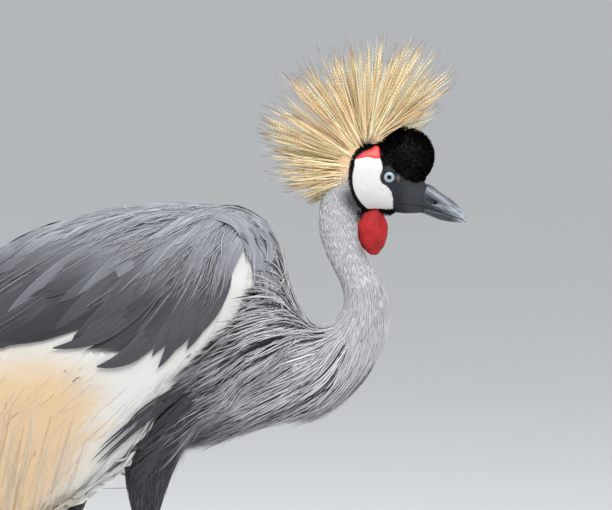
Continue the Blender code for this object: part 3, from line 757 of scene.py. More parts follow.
def eye_material():
    """Pupil, iris and dark rim by distance from the eye's own axis, under a wet surface."""
    shades = colours()
    material, tree, shader = node_tree_of("eye")
    place = tree.nodes.new("ShaderNodeTexCoord").outputs["Object"]
    centred = add_node(
        tree, "ShaderNodeMapping", Vector=place, Location=(-EYE_PLACE[0] * MM, 0, -EYE_PLACE[2] * MM), Scale=(1, 0, 1)
    ).outputs[0]
    length = add_node(tree, "ShaderNodeVectorMath", _0=centred)
    length.operation = "LENGTH"
    radius = maths(tree, "MULTIPLY", length.outputs["Value"], 1000.0)
    turned = add_node(tree, "ShaderNodeVectorMath", _0=centred)
    turned.operation = "NORMALIZE"
    fibres = add_node(tree, "ShaderNodeTexNoise", Vector=turned.outputs[0], Scale=9.0, Detail=5.0).outputs[0]
    ring = mixed_colour(tree, stepped(tree, fibres, 0.3, 0.7), shades["iris"] * 0.62, shades["iris"])
    ring = mixed_colour(tree, stepped(tree, radius, 3.2, 5.6), shades["iris"] * 0.75, ring)
    ring = mixed_colour(tree, stepped(tree, radius, 5.1, 5.9), ring, (0.012, 0.013, 0.015))
    base = mixed_colour(tree, stepped(tree, radius, 2.25, 2.6), (0.001, 0.001, 0.0012), ring)
    fill(tree, shader, Base_Color=base, Roughness=0.25, Specular_IOR_Level=0.1, Coat_Weight=0.5, Coat_Roughness=0.02,
         Coat_IOR=1.38)
    return material


# Colours of the coat by place


def zone_tint(zone, points):
    """The colour of the skin and of the feathers' roots at points of a zone."""
    shades = colours()
    places = side_view(points)
    count = len(points)
    height = places[:, 1]

    def flat(name, gain=1.0):
        return np.tile(shades[name] * gain, (count, 1))

    def between(first, second, share):
        return first + (second - first) * share[:, None]

    if zone == "neck":
        base = between(flat("pale", 0.9), flat("pale"), smooth_step(height, 440, 620))
        # Darker along the throat: painted shade under the jaw and the wattle. Darker also where the black band fades
        # out below eye level: partly the band's own dark, partly painted shade under the head.
        band_fade_and_shade = 0.92 * ridge_along(places, THROAT_SHADE_LINE, 12)
        nape = 0.95 * np.exp(-(np.minimum(inside(places, BLACK_FACE, 3) + 2, 0) / 10) ** 2)
        return between(base, flat("slate", 0.45),
                       np.clip(np.maximum(band_fade_and_shade, nape * smooth_step(-height, -684, -664)), 0, 1))
    if zone == "hackles":
        return between(flat("slate", 0.5), flat("mid", 0.8), smooth_step(height - 0.5 * (190 - places[:, 0]), 400, 520))
    if zone == "breast":
        # Darker towards the front, under the hanging hackles: painted shade.
        base = between(flat("slate", 0.6), flat("slate", 0.15), smooth_step(places[:, 0], 60, 130))
        return between(base, flat("mid", 0.7), smooth_step(inside(places, DRAPE, 2), -2, 2))
    if zone == "back":
        # Paler towards the top of the back and darker low on the shoulders: painted light from above, over the lower
        # feathers' own darker grey.
        share = smooth_step(height + 0.1 * places[:, 0], 555, 668)
        base = between(flat("dark", 0.46), flat("mid", 1.0), share)
        deep = smooth_step(-places[:, 0], 0, 130) * smooth_step(-height, -575, -520)
        return between(base, flat("shadow"), deep)
    if zone == "mantle":
        below = smooth_step(-inside(places, MANTLE_EDGE, 2), -1, 3) * (height < 620)
        return between(zone_tint("back", points), flat("white"), below)
    if zone in ("coverts", "plumes"):
        return between(flat("white"), flat("straw"), smooth_step(inside(places, GOLD_PATCH), -22, 36))
    if zone == "face":
        nape = between(flat("pale", 0.95), np.tile(linear(222, 190, 150), (count, 1)), smooth_step(height, 674, 694))
        # Darker where the black band fades out below eye level: partly the band's own dark, partly painted shade under
        # the head.
        band_fade_and_shade = np.exp(-(np.minimum(inside(places, BLACK_FACE, 3) + 2, 0) / 10) ** 2)
        nape = between(nape, flat("slate", 0.45), band_fade_and_shade * 0.95 * smooth_step(-height, -684, -664))
        return between(nape, flat("black", 0.8), smooth_step(inside(places, BLACK_FACE, 3), -0.8, 0.8))
    if zone == "thigh":
        return flat("slate", 0.55)
    return {
        "secondaries": flat("chestnut"),
        "primaries": flat("black"),
        "tail": flat("black"),
        "cap": flat("black", 0.2),
    }[zone]


# The skin


class Skin:
    """The made skin's surface and its zones, for the coat to grow on."""

    tree = None
    centres = None
    normals = None
    areas = None
    zones = None
    corners = None


def flesh_map():
    """A tree over the CAD nodes of flesh, and the node of each of its faces."""
    points, faces, owners = [], [], []
    for name in FLESH:
        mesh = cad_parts[name].data
        offset = len(points)
        points += [vertex.co.copy() for vertex in mesh.vertices]
        faces += [[offset + index for index in face.vertices] for face in mesh.polygons]
        owners += [name] * len(mesh.polygons)
    return BVHTree.FromPolygons(points, faces), owners


def sink_under_coat(surface, nearest, owners):
    """Moves the skin in by the coat's depth, less where the body is thin."""
    surface.normal_update()
    surface.verts.index_update()
    walls = BVHTree.FromBMesh(surface)
    depths = np.zeros(len(surface.verts))
    for vertex in surface.verts:
        depth = FLESH[owners[nearest.find_nearest(vertex.co)[2]]][0] * MM
        if LORE_BACK < vertex.co.x < BILL_BASE * MM and vertex.co.z < LORE_TOP:
            depth = -BILL_BASE_GROWTH * MM
        across = walls.ray_cast(vertex.co - vertex.normal * MM, -vertex.normal, 0.1)[3]
        depths[vertex.index] = min(depth, HIDDEN_SHARE * (0.1 if across is None else across + MM))
    for _ in range(6):
        around = [
            np.mean([depths[link.other_vert(vertex).index] for link in vertex.link_edges]) for vertex in surface.verts
        ]
        depths = (depths + np.array(around)) / 2
    moves = [vertex.normal * (depths[vertex.index] + SEAM_OVERLAP * MM) for vertex in surface.verts]
    for vertex, move in zip(surface.verts, moves):
        vertex.co -= move


def shape_lids(surface):
    """Draws the skin round each eye into a rim, and behind the eyeball inside it."""
    middle_x, middle_y, middle_z = EYE_PLACE
    rim_y = middle_y + math.sqrt(EYE_RADIUS**2 - LID_OPENING**2) + LID_GAP
    for vertex in surface.verts:
        x, y, z = (value / MM for value in vertex.co)
        radius = math.hypot(x - middle_x, z - middle_z)
        if radius > LID_REACH or abs(y) < 8:
            continue
        turn = math.atan2(z - middle_z, x - middle_x)
        if abs(radius - LID_OPENING) < 0.55:
            radius = LID_OPENING
            x = middle_x + radius * math.cos(turn)
            z = middle_z + radius * math.sin(turn)
        if radius < LID_OPENING:
            depth = middle_y + math.sqrt(EYE_RADIUS**2 - radius**2) - 0.4 - 1.6 * (1 - radius / LID_OPENING)
        else:
            away = (radius - LID_OPENING) / (LID_REACH - LID_OPENING)
            blend = away * away * (3 - 2 * away)
            rim = 0.75 * math.exp(-(((radius - LID_OPENING - 0.85) / 0.8) ** 2))
            fold = 0.35 * math.exp(-(((radius - LID_OPENING - 2.9) / 0.7) ** 2)) * max(0.0, math.sin(turn + 0.3))
            depth = rim_y * (1 - blend) + abs(y) * blend + rim + fold
        vertex.co = Vector((x, math.copysign(depth, y), z)) * MM


def shape_cheek(surface):
    """Raises the bare cheek and the red patch as soft plates, and folds the skin at the gape."""
    places = np.array([(vertex.co.x, vertex.co.z) for vertex in surface.verts]) / MM
    heads = [v.co.x > HEAD_BACK and v.co.z > HEAD_FOOT and abs(v.co.y) > 0.006 for v in surface.verts]
    cheek = inside(places, CHEEK)
    red = inside(places, RED_PATCH)
    bare = np.maximum(cheek, red)
    rise = 0.55 * smooth_step(bare, -0.9, 0.9) - 0.35 * np.exp(-(((bare + 1.3) / 0.8) ** 2))
    rise -= 0.5 * ridge_along(places, GAPE_FOLD, 0.7)
    surface.normal_update()
    for vertex, height, is_head in zip(surface.verts, rise, heads):
        if is_head:
            vertex.co += Vector((0, math.copysign(height * MM, vertex.co.y), 0))


class CRANE_OT_skin(bpy.types.Operator):
    """Make the one skin that the coat grows on"""

    bl_idname = "crane.skin"
    bl_label = "Skin"

    def execute(self, context):
        surface = remeshed(list(FLESH), context.scene.crane_coat.grain, SEAM_OVERLAP * MM, 4, FLESH_JOINTS)
        whole = [*surface.verts, *surface.edges, *surface.faces]
        cut = bmesh.ops.bisect_plane(
            surface, geom=whole, plane_co=(SKIN_END * MM, 0, 0), plane_no=(1, 0, 0), clear_outer=True
        )["geom_cut"]
        bmesh.ops.holes_fill(surface, edges=[edge for edge in cut if isinstance(edge, bmesh.types.BMEdge)])
        bmesh.ops.triangulate(surface, faces=[face for face in surface.faces if len(face.verts) > 4])
        nearest, owners = flesh_map()
        sink_under_coat(surface, nearest, owners)
        soften(surface, surface.verts)
        for _ in range(2):
            refine(surface, lambda middle: middle.x > 0.236 and middle.z > 0.642)
            soften(surface, [v for v in surface.verts if v.co.x > 0.24 and v.co.z > 0.645])
        eye = Vector(EYE_PLACE) * MM
        refine(surface, lambda middle: math.hypot(middle.x - eye.x, middle.z - eye.z) < 0.0135 and abs(middle.y) > 0.01)
        shape_cheek(surface)
        shape_lids(surface)
        skin = finish_mesh(surface, "skin", skin_material())
        mesh = skin.data
        points = vertex_array(mesh)
        zones = np.array([ZONES.index(FLESH[owners[nearest.find_nearest(p)[2]]][1]) for p in points])
        tint = np.zeros((len(points), 3))
        for index, zone in enumerate(ZONES):
            if (zones == index).any():
                tint[zones == index] = zone_tint(zone, points[zones == index])
        places = side_view(points)
        lateral = smooth_step(np.abs(points[:, 1]) / MM, 3.5, 6.5)
        cheek = inside(places, CHEEK)
        red = inside(places, RED_PATCH)
        on_face = zones == ZONES.index("face")
        lores = smooth_step(inside(places, LORES), -1.5, 1.5) * on_face
        front = on_face & (places[:, 0] > GAPE_FOLD[0][0])
        lores = np.maximum(lores, front & (places[:, 0] > 300))
        tint += (colours()["lore"] - tint) * lores[:, None]
        from_eye = np.hypot(places[:, 0] - EYE_PLACE[0], places[:, 1] - EYE_PLACE[2])
        lid = np.exp(-(((from_eye - LID_OPENING - 0.7) / 1.1) ** 2))
        tint += (colours()["black"] - tint) * (lid * 0.9)[:, None]
        # Darker along the fold of the gape: painted shade in the crease.
        gape_shade = ridge_along(places, GAPE_FOLD, 0.9) * front
        tint *= 1 - 0.75 * gape_shade[:, None]
        fold = np.exp(-(((places[:, 0] - 293.3) / 1.5) ** 2) - ((places[:, 1] - 683) / 3.4) ** 2)
        tint += (np.array(linear(186, 160, 158)) - tint) * (fold * 0.7)[:, None]
        write_tint(mesh, tint)
        in_head = (points[:, 0] > HEAD_BACK) & (points[:, 2] > HEAD_FOOT)
        for name, distance in (("cheek", cheek), ("red", red)):
            write_attribute(mesh, name, "FLOAT", np.where(in_head, np.minimum(distance, lateral * 20 - 10), -50))
        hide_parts(*[name for name in FLESH if not name.startswith(("eye", "bill"))])
        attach(skin, ROOT_BODY)
        remember_skin(mesh, zones)
        return {"FINISHED"}


def remember_skin(mesh, zones):
    """Keeps the skin's triangles with their zones for the coat."""
    mesh.calc_loop_triangles()
    corners = np.empty(len(mesh.loop_triangles) * 3, np.int32)
    mesh.loop_triangles.foreach_get("vertices", corners)
    corners = corners.reshape(-1, 3)
    points = vertex_array(mesh)
    first, second, third = (points[corners[:, index]] for index in range(3))
    cross = np.cross(second - first, third - first)
    Skin.tree = BVHTree.FromPolygons([Vector(p) for p in points], corners.tolist())
    Skin.areas = np.linalg.norm(cross, axis=1) / 2
    Skin.normals = unit(cross)
    Skin.zones = zones[corners[:, 0]]
    Skin.corners = points[corners]
    Skin.centres = Skin.corners.mean(axis=1)


# The coat


def body_axis(points):
    """Height of the body's middle line under and over points, to tell its outside from its inside."""
    return np.interp(points[:, 0] / MM, *zip(*BODY_LINE)) * MM


def outward(points, normals, zone):
    """Whether the skin faces out of the bird there, and not into the hollow under its wings."""
    if zone in ("neck", "face", "cap", "thigh", "primaries", "tail", "hackles"):
        return np.ones(len(points), bool)
    away = points.copy()
    away[:, 0] = 0
    away[:, 2] -= body_axis(points)
    facing = normals.copy()
    facing[:, 0] = 0
    return (away * facing).sum(1) > 0


def scattered(zones, count, rng, wanted=None, spacing=None):
    """Roots spread evenly by area over zones of the skin: their places and normals."""
    chosen = np.isin(Skin.zones, [ZONES.index(zone) for zone in zones])
    faces = np.nonzero(chosen)[0]
    keep = np.zeros(len(faces), bool)
    for zone in zones:
        here = Skin.zones[faces] == ZONES.index(zone)
        keep[here] = outward(Skin.centres[faces[here]], Skin.normals[faces[here]], zone)
    faces = faces[keep]
    if wanted is not None:
        faces = faces[wanted(Skin.centres[faces], Skin.normals[faces])]
    if not len(faces):
        raise RuntimeError(f"no skin was found for {zones}")
    count = max(3, int(count * bpy.context.scene.crane_coat.fullness))
    draws = count if spacing is None else count * 6
    picked = rng.choice(faces, draws, p=Skin.areas[faces] / Skin.areas[faces].sum())
    first, second = rng.random((2, draws, 1))
    flip = first + second > 1
    first, second = np.where(flip, 1 - first, first), np.where(flip, 1 - second, second)
    corners = Skin.corners[picked]
    points = corners[:, 0] + first * (corners[:, 1] - corners[:, 0]) + second * (corners[:, 2] - corners[:, 0])
    if spacing is not None:
        kept = spaced(points, spacing * MM)
        points, picked = points[kept], picked[kept]
    return points, Skin.normals[picked]


def spaced(points, least):
    """Indices of points that keep a distance from those before them."""
    cells = {}
    kept = []
    keys = np.floor(points / least).astype(int)
    around = [(i, j, k) for i in (-1, 0, 1) for j in (-1, 0, 1) for k in (-1, 0, 1)]
    for index, ((x, y, z), (i, j, k)) in enumerate(zip(points.tolist(), keys.tolist())):
        near = (cells.get((i + a, j + b, k + c)) for a, b, c in around)
        if all(
            group is None or all((x - p) ** 2 + (y - q) ** 2 + (z - r) ** 2 > least**2 for p, q, r in group)
            for group in near
        ):
            cells.setdefault((i, j, k), []).append((x, y, z))
            kept.append(index)
    return np.array(kept, int)


def nearest_skin(points):
    """The nearest places on the skin and its normals there."""
    places, normals = np.empty_like(points), np.empty_like(points)
    for index, point in enumerate(points):
        place, normal, _, _ = Skin.tree.find_nearest(point)
        places[index], normals[index] = place, normal
    return places, normals


def lie_at(points, normals, zone):
    """The way the coat lies, as unit vectors along the skin."""
    guides = np.array(LIE[zone], float)
    places = side_view(points)
    away = ((places[:, None] - guides[None, :, :2]) ** 2).sum(2)
    weights = 1 / (away + 60) ** 1.6
    headings = (weights[:, :, None] * guides[None, :, 2:]).sum(1)
    full = unit(np.stack([headings[:, 0], np.zeros(len(points)), headings[:, 1]], 1))
    if zone in ("mantle", "coverts"):
        full[:, 1] = 0.35 * np.sign(points[:, 1]) * smooth_step(normals[:, 2], 0.3, 1.0)
    return unit(full - normals * (full * normals).sum(1, keepdims=True))


def combed(
    roots, normals, zone, lengths, steps, lift, rng, stray=0.12, turn=0.5, curl=0.0, cling=1.0, fall=0.0, flare=0.0
):
    """Paths of feathers over the skin: (feather, step, xyz), with the normals under them."""
    count = len(roots)
    path = np.empty((count, steps, 3))
    under = np.empty((count, steps, 3))
    point, normal = roots - normals * (0.5 * MM), normals
    heading = lie_at(roots, normals, zone)
    sideways = np.cross(normal, heading)
    heading = unit(heading + sideways * rng.normal(0, stray, (count, 1)))
    path[:, 0], under[:, 0] = point, normal
    stride = (lengths / (steps - 1))[:, None]
    phase = rng.random((count, 1)) * 2 * math.pi
    heights = np.interp(np.linspace(0, 1, steps), *zip(*lift)) * MM
    jitter = rng.uniform(0.6, 1.25, (count, 1))
    bend = rng.normal(0, 1, (count, 1)) * curl
    for step in range(1, steps):
        share = step / (steps - 1)
        wanted = lie_at(point, normal, zone)
        heading = unit(heading * (1 - turn) + wanted * turn)
        sideways = np.cross(normal, heading)
        heading = unit(heading + sideways * (bend * math.sin(3.0 * share) + curl * 0.6 * np.sin(phase + 5 * share)))
        heading[:, 2] -= fall * share
        heading += normal * (flare * share * jitter)
        free = point + heading * stride
        place, normal = nearest_skin(free)
        height = heights[step] * jitter
        clung = place + normal * height
        above = ((free - place) * normal).sum(1, keepdims=True)
        hold = np.clip(cling, 0, 1) if np.isscalar(cling) else cling[:, step : step + 1]
        lifted = free + normal * np.maximum(height - above, 0)
        moved = clung * hold + lifted * (1 - hold)
        heading = unit(moved - point)
        point = moved
        path[:, step], under[:, step] = point, normal
    return path, under


PIECE_LIMIT = 200000
PATCH = 0.003
# Cross-sections as (across, up), and outlines as (share of the length, share of the width).
SECTIONS = {
    "vane": ((-1.0, 0.0), (0.0, 1.0), (1.0, 0.0), (0.0, -0.5)),
    "broad": ((-1.0, 0.0), (-0.5, 0.8), (0.0, 1.0), (0.5, 0.8), (1.0, 0.0), (0.0, -0.5)),
    "strand": ((-1.0, -0.4), (0.0, 1.0), (1.0, -0.4)),
}
OUTLINES = {
    "lance": ((0, 0.35), (0.15, 0.8), (0.4, 1.0), (0.7, 0.72), (0.9, 0.34), (1, 0.06)),
    "blunt": ((0, 0.35), (0.2, 0.85), (0.6, 1.0), (0.85, 0.8), (0.95, 0.5), (1, 0.12)),
    "hair": ((0, 0.7), (0.3, 1.0), (0.8, 0.85), (0.93, 0.5), (1, 0.15)),
    "tuft": ((0, 1.0), (0.5, 0.8), (1, 0.08)),
}


class Coat:
    """Feathers gathered for one joined mesh, each with a patch of the OFBake map at its root's place."""

    def __init__(self, name):
        self.name = name
        self.blocks = []

    def add(self, path, under, widths, thickness, tints, rng, section="strand", outline="lance", twist=0.0):
        """Adds feathers: widths in millimetres, thickness as a share of the width, tints by (feather, step, rgb)."""
        count, steps, _ = path.shape
        if not count:
            return
        shape = np.array(SECTIONS[section])
        ring = len(shape)
        along = np.linspace(0, 1, steps)
        ahead = unit(np.gradient(path, axis=1))
        side = unit(np.cross(under, ahead))
        up = np.cross(ahead, side)
        if twist:
            angle = along[None, :, None] * twist + rng.random((count, 1, 1)) * 2 * math.pi
            side, up = side * np.cos(angle) + up * np.sin(angle), up * np.cos(angle) - side * np.sin(angle)
        span = np.interp(along, *zip(*OUTLINES[outline]))[None, :] * np.reshape(widths, (-1, 1)) * MM / 2
        deep = span * np.reshape(thickness, (-1, 1))
        points = (
            path[:, :, None]
            + side[:, :, None] * (span[:, :, None] * shape[None, None, :, 0])[..., None]
            + up[:, :, None] * (deep[:, :, None] * shape[None, None, :, 1])[..., None]
        )
        vane = np.empty((count, steps, ring, 3))
        vane[..., 0] = shape[:, 0]
        vane[..., 1] = along[None, :, None]
        vane[..., 2] = rng.random((count, 1, 1))
        colour = np.repeat(tints[:, :, None], ring, axis=2)
        places = unwrap(path[:, 0])
        spots = np.empty((count, steps, ring, 2))
        spots[..., 0] = places[:, None, None, 0] + shape[:, 0] * PATCH / 2
        spots[..., 1] = places[:, None, None, 1] + (along[None, :, None] - 0.5) * PATCH
        self.blocks.append((points, vane, colour, spots))

    def build(self, material, *nodes, slot=None):
        """Writes the joined mesh, riding on the bird."""
        totals = [block[0].shape[:3] for block in self.blocks]
        points, vane, colour, spots = (
            np.concatenate([values.reshape(-1, values.shape[-1]) for values in part]) for part in zip(*self.blocks)
        )
        loops, sizes, offset = [], [], 0
        for count, steps, ring in totals:
            column = np.arange(ring)
            lower = np.arange(steps - 1)[:, None] * ring + column
            after = np.arange(steps - 1)[:, None] * ring + (column + 1) % ring
            quads = np.stack([lower, lower + ring, after + ring, after], -1).reshape(-1)
            ends = np.concatenate([column, (steps - 1) * ring + column[::-1]])
            starts = offset + np.arange(count)[:, None] * steps * ring
            loops.append((starts + np.concatenate([quads, ends])).reshape(-1))
            sizes.append(np.tile([4] * ((steps - 1) * ring) + [ring, ring], count))
            offset += count * steps * ring
        loops, sizes = np.concatenate(loops), np.concatenate(sizes)
        mesh = bpy.data.meshes.new(self.name)
        mesh.vertices.add(len(points))
        mesh.vertices.foreach_set("co", points.astype(np.float32).ravel())
        mesh.loops.add(len(loops))
        mesh.loops.foreach_set("vertex_index", loops.astype(np.int32))
        mesh.polygons.add(len(sizes))
        mesh.polygons.foreach_set("loop_start", np.concatenate([[0], np.cumsum(sizes)[:-1]]).astype(np.int32))
        mesh.polygons.foreach_set("use_smooth", np.ones(len(sizes), bool))
        mesh.update(calc_edges=True)
        ends = np.empty(len(mesh.edges) * 2, np.int32)
        mesh.edges.foreach_get("vertices", ends)
        across, along = vane[ends.reshape(-1, 2), 0], vane[ends.reshape(-1, 2), 1]
        flat = np.concatenate([np.full(count * steps * ring, ring > 3) for count, steps, ring in totals])
        margin = (np.abs(across).min(1) == 1) & (across[:, 0] == across[:, 1])
        margin |= (along[:, 0] == along[:, 1]) & ((along[:, 0] == 0) | (along[:, 0] == 1))
        margin &= flat[ends[::2]]
        mesh.attributes.new("sharp_edge", "BOOLEAN", "EDGE").data.foreach_set("value", margin)
        write_tint(mesh, np.clip(colour, 0, 1))
        write_attribute(mesh, "vane", "FLOAT_VECTOR", vane)
        bake = mesh.uv_layers.new(name="OFBake")
        bake.data.foreach_set("uv", spots[loops].astype(np.float32).ravel())
        mesh.validate()
        mesh.calc_loop_triangles()
        triangles = len(mesh.loop_triangles)
        print(f"{self.name}: {triangles} triangles")
        if triangles > PIECE_LIMIT:
            raise RuntimeError(f"{self.name} has {triangles} triangles")
        obj = add_object(self.name, mesh, material)
        if nodes:
            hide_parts(*nodes)
        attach(obj, ROOT_BODY)


def unwrap(points):
    """Each root's place on an unwrap of the skin: along the bird's middle line, and round it."""
    x, y, z = (points[:, axis] / MM for axis in range(3))
    neck = (x > 200) & (z > 450) | (z > 660)
    round_neck = np.arctan2(y, x - np.interp(z, *zip(*NECK_LINE)))
    round_body = np.arctan2(y, z - body_axis(points) / MM)
    along_neck = 0.64 + 0.34 * np.clip((z - 440) / 420, 0, 1)
    along_body = 0.02 + 0.58 * np.clip((x + 375) / 640, 0, 1)
    turn = np.where(neck, round_neck, round_body) / (2 * math.pi) + 0.5
    return np.stack([np.where(neck, along_neck, along_body), 0.01 + 0.98 * turn], 1)


def graded(root, tip, steps, rng, jitter=0.08, power=1.0):
    """Colours from root to tip, each feather a little lighter or darker than the next."""
    share = np.linspace(0, 1, steps)[None, :, None] ** power
    gain = np.exp(rng.normal(0, jitter, (len(root), 1, 1)))
    return (root[:, None] + (tip[:, None] - root[:, None]) * share) * gain


def along_axis(values, table):
    return np.interp(values, *zip(*sorted(table)))


def add_tract(coat, rng, zone, count, lengths, widths, steps, lift, tint=None, tip_gain=1.0, wanted=None, spacing=None,
              section="strand", outline="lance", thickness=0.35, jitter=0.08, edge=None, margin=0.0, avoid=None,
              also=(),
              lie=None, trail=None, facing=None, **comb):
    """Scatters one kind of feather over a zone. lengths and widths are tables by height in millimetres."""
    roots, normals = scattered((zone, *also), count, rng, wanted, spacing)
    height = roots[:, 2] / MM
    length = along_axis(height, lengths) * rng.uniform(0.8, 1.2, len(roots)) * MM
    path, under = combed(roots, normals, lie or zone, length, steps, lift, rng, **comb)
    width = along_axis(height, widths) * rng.uniform(0.8, 1.2, len(roots))
    shade = zone_tint(zone, roots) if tint is None else tint(roots, rng)
    if edge is None:
        leaps = np.linalg.norm(np.diff(path, axis=1), axis=2).max(1)
        keep = leaps < 1.5 * length / (steps - 1) + 1.5 * MM
        if facing is not None:
            side = np.sign(roots[:, 1])[:, None]
            keep &= (under[..., 1] * side + np.maximum(under[..., 2], 0)).min(1) > facing
    else:
        keep = inside_distance(side_view(path[:, -1]), edge) > -margin
    if avoid is not None:
        keep &= inside_distance(side_view(path[:, -1]), avoid) < margin
    colour = graded(shade, shade * tip_gain, steps, rng, jitter)
    if trail:
        gain = np.exp(rng.normal(0, jitter, (len(roots), 1, 1))) * np.linspace(1, tip_gain, steps)[None, :, None]
        colour = zone_tint(trail, path.reshape(-1, 3)).reshape(colour.shape) * gain
    coat.add(path[keep], under[keep], width[keep], thickness, colour[keep], rng, section, outline)


def laid(places, steps, lift, side):
    """A feather along named (x, z) places, laid on the skin of one side."""
    root, middle, tip = (np.array(place, float) for place in places[:3])
    share = np.linspace(0, 1, steps)[:, None]
    line = root * (1 - share) * (1 - 2 * share) + middle * 4 * share * (1 - share) + tip * share * (2 * share - 1)
    sign = SIDES[side]
    path, under, hits = np.empty((1, steps, 3)), np.empty((1, steps, 3)), []
    for x, z in line:
        place, normal = Skin.tree.ray_cast(Vector((x * MM, sign * 0.3, z * MM)), Vector((0, -sign, 0)))[:2]
        if place is None:
            place, normal = Skin.tree.find_nearest(Vector((x * MM, sign * 0.03, z * MM)))[:2]
        hits.append((place.copy(), normal))
    for _ in range(8):
        for before, here, after in zip(hits, hits[1:], hits[2:]):
            here[0].y = sign * max(sign * here[0].y, sign * (before[0].y + after[0].y) / 2)
    for index, (place, normal) in enumerate(hits):
        height = np.interp(index / (steps - 1), *zip(*lift)) * MM
        path[0, index] = place + Vector((0, sign * height, 0)) * 0.7 + normal * height * 0.3
        under[0, index] = unit(np.array(normal) * 0.5 + np.array((0, sign * 0.5, 0)))
    return path, under


def new_rng(offset):
    return np.random.default_rng(bpy.context.scene.crane_coat.seed * 100 + offset)


def not_cheek(points, _normals):
    """Leaves out the bare skin of the face and the eyes."""
    places = side_view(points)
    bare = np.maximum(inside(places, CHEEK), inside(places, RED_PATCH))
    from_eye = np.hypot(places[:, 0] - EYE_PLACE[0], places[:, 1] - EYE_PLACE[2])
    lateral = np.abs(points[:, 1]) / MM > 5
    return (~lateral | ((bare < -0.4) & (from_eye > LID_OPENING + 2.4))) & (places[:, 0] < BILL_BASE - 3)


def face_tint(roots, _rng):
    places = side_view(roots)
    shades = colours()
    share = smooth_step(inside(places, LORES), -1.0, 1.5)[:, None]
    return shades["black"] * 0.7 * (1 - share) + shades["lore"] * share


def throat_tint(roots, _rng):
    return np.tile(colours()["black"] * 0.6, (len(roots), 1))


def black_face(points):
    return inside(side_view(points), BLACK_FACE, 3)


class CRANE_OT_face(bpy.types.Operator):
    """Lay the smallest feathers over the head, and the velvet of the forehead"""

    bl_idname = "crane.face"
    bl_label = "Face and velvet"

    def execute(self, context):
        rng = new_rng(1)
        velvet = feather_material("velvet", 0.0, 0.8, 0.15, 20.0, 0.9, 0.0, 0.1)
        velvet.node_tree.nodes["Principled BSDF"].inputs["Specular IOR Level"].default_value = 0.04
        face = Coat("face_feathers")

        def outside_lores(points, normals):
            lores = inside(side_view(points), LORES)
            return not_cheek(points, normals) & (lores < 1) & (black_face(points) > -0.5)

        def inside_lores(points, normals):
            near = points[:, 0] / MM < 292 + 14 * rng.random(len(points))
            return near & not_cheek(points, normals) & (inside(side_view(points), LORES) > -1)

        add_tract(face, rng, "face", 4200, ((640, 2.4), (720, 1.9)), ((640, 0.6), (720, 0.55)), 3,
                  ((0, 0), (0.5, 0.6), (1, 0.9)), tint=face_tint, wanted=outside_lores, outline="tuft", thickness=0.6,
                  stray=0.3)
        add_tract(face, rng, "face", 3600, ((640, 1.8), (720, 1.4)), ((640, 0.45), (720, 0.4)), 3,
                  ((0, 0), (0.5, 0.2), (1, 0.25)), tint=face_tint, wanted=inside_lores, outline="tuft", thickness=0.4,
                  stray=0.2)

        def throat(points, normals):
            places = side_view(points)
            return (normals[:, 2] < -0.1) & (places[:, 0] > 250) & (places[:, 0] < 292) & (places[:, 1] < 650)

        add_tract(face, rng, "face", 420, ((630, 7.5), (650, 7.0)), ((630, 0.9), (650, 0.9)), 4, ((0, 0), (1, 3.4)),
                  tint=throat_tint, wanted=throat, outline="tuft", thickness=0.6, stray=0.2, cling=0.0, fall=0.8)
        face.build(velvet, slot="black_velvet")
        plush = Coat("cap_velvet")
        roots, normals = scattered(("cap",), 12500, rng)
        steps = 3
        lengths = rng.uniform(2.2, 3.2, (len(roots), 1, 1)) * (1 + 0.8 * np.maximum(normals[:, None, 2:], 0)) * MM
        ways = unit(normals + rng.normal(0, 0.24, normals.shape))
        share = np.linspace(0, 1, steps)[None, :, None]
        path = roots[:, None] - normals[:, None] * 0.4 * MM + ways[:, None] * lengths * share
        under = np.repeat(unit(np.cross(ways, (0.3, 1, 0.2)))[:, None], steps, 1)
        base = np.tile(colours()["black"] * 0.12, (len(roots), 1))
        tint = graded(base, base * 1.5, steps, rng, 0.35)
        plush.add(path, under, rng.uniform(0.5, 0.8, len(roots)), 0.8, tint, rng, "strand", "tuft")
        plush.build(velvet, slot="black_velvet")
        return {"FINISHED"}


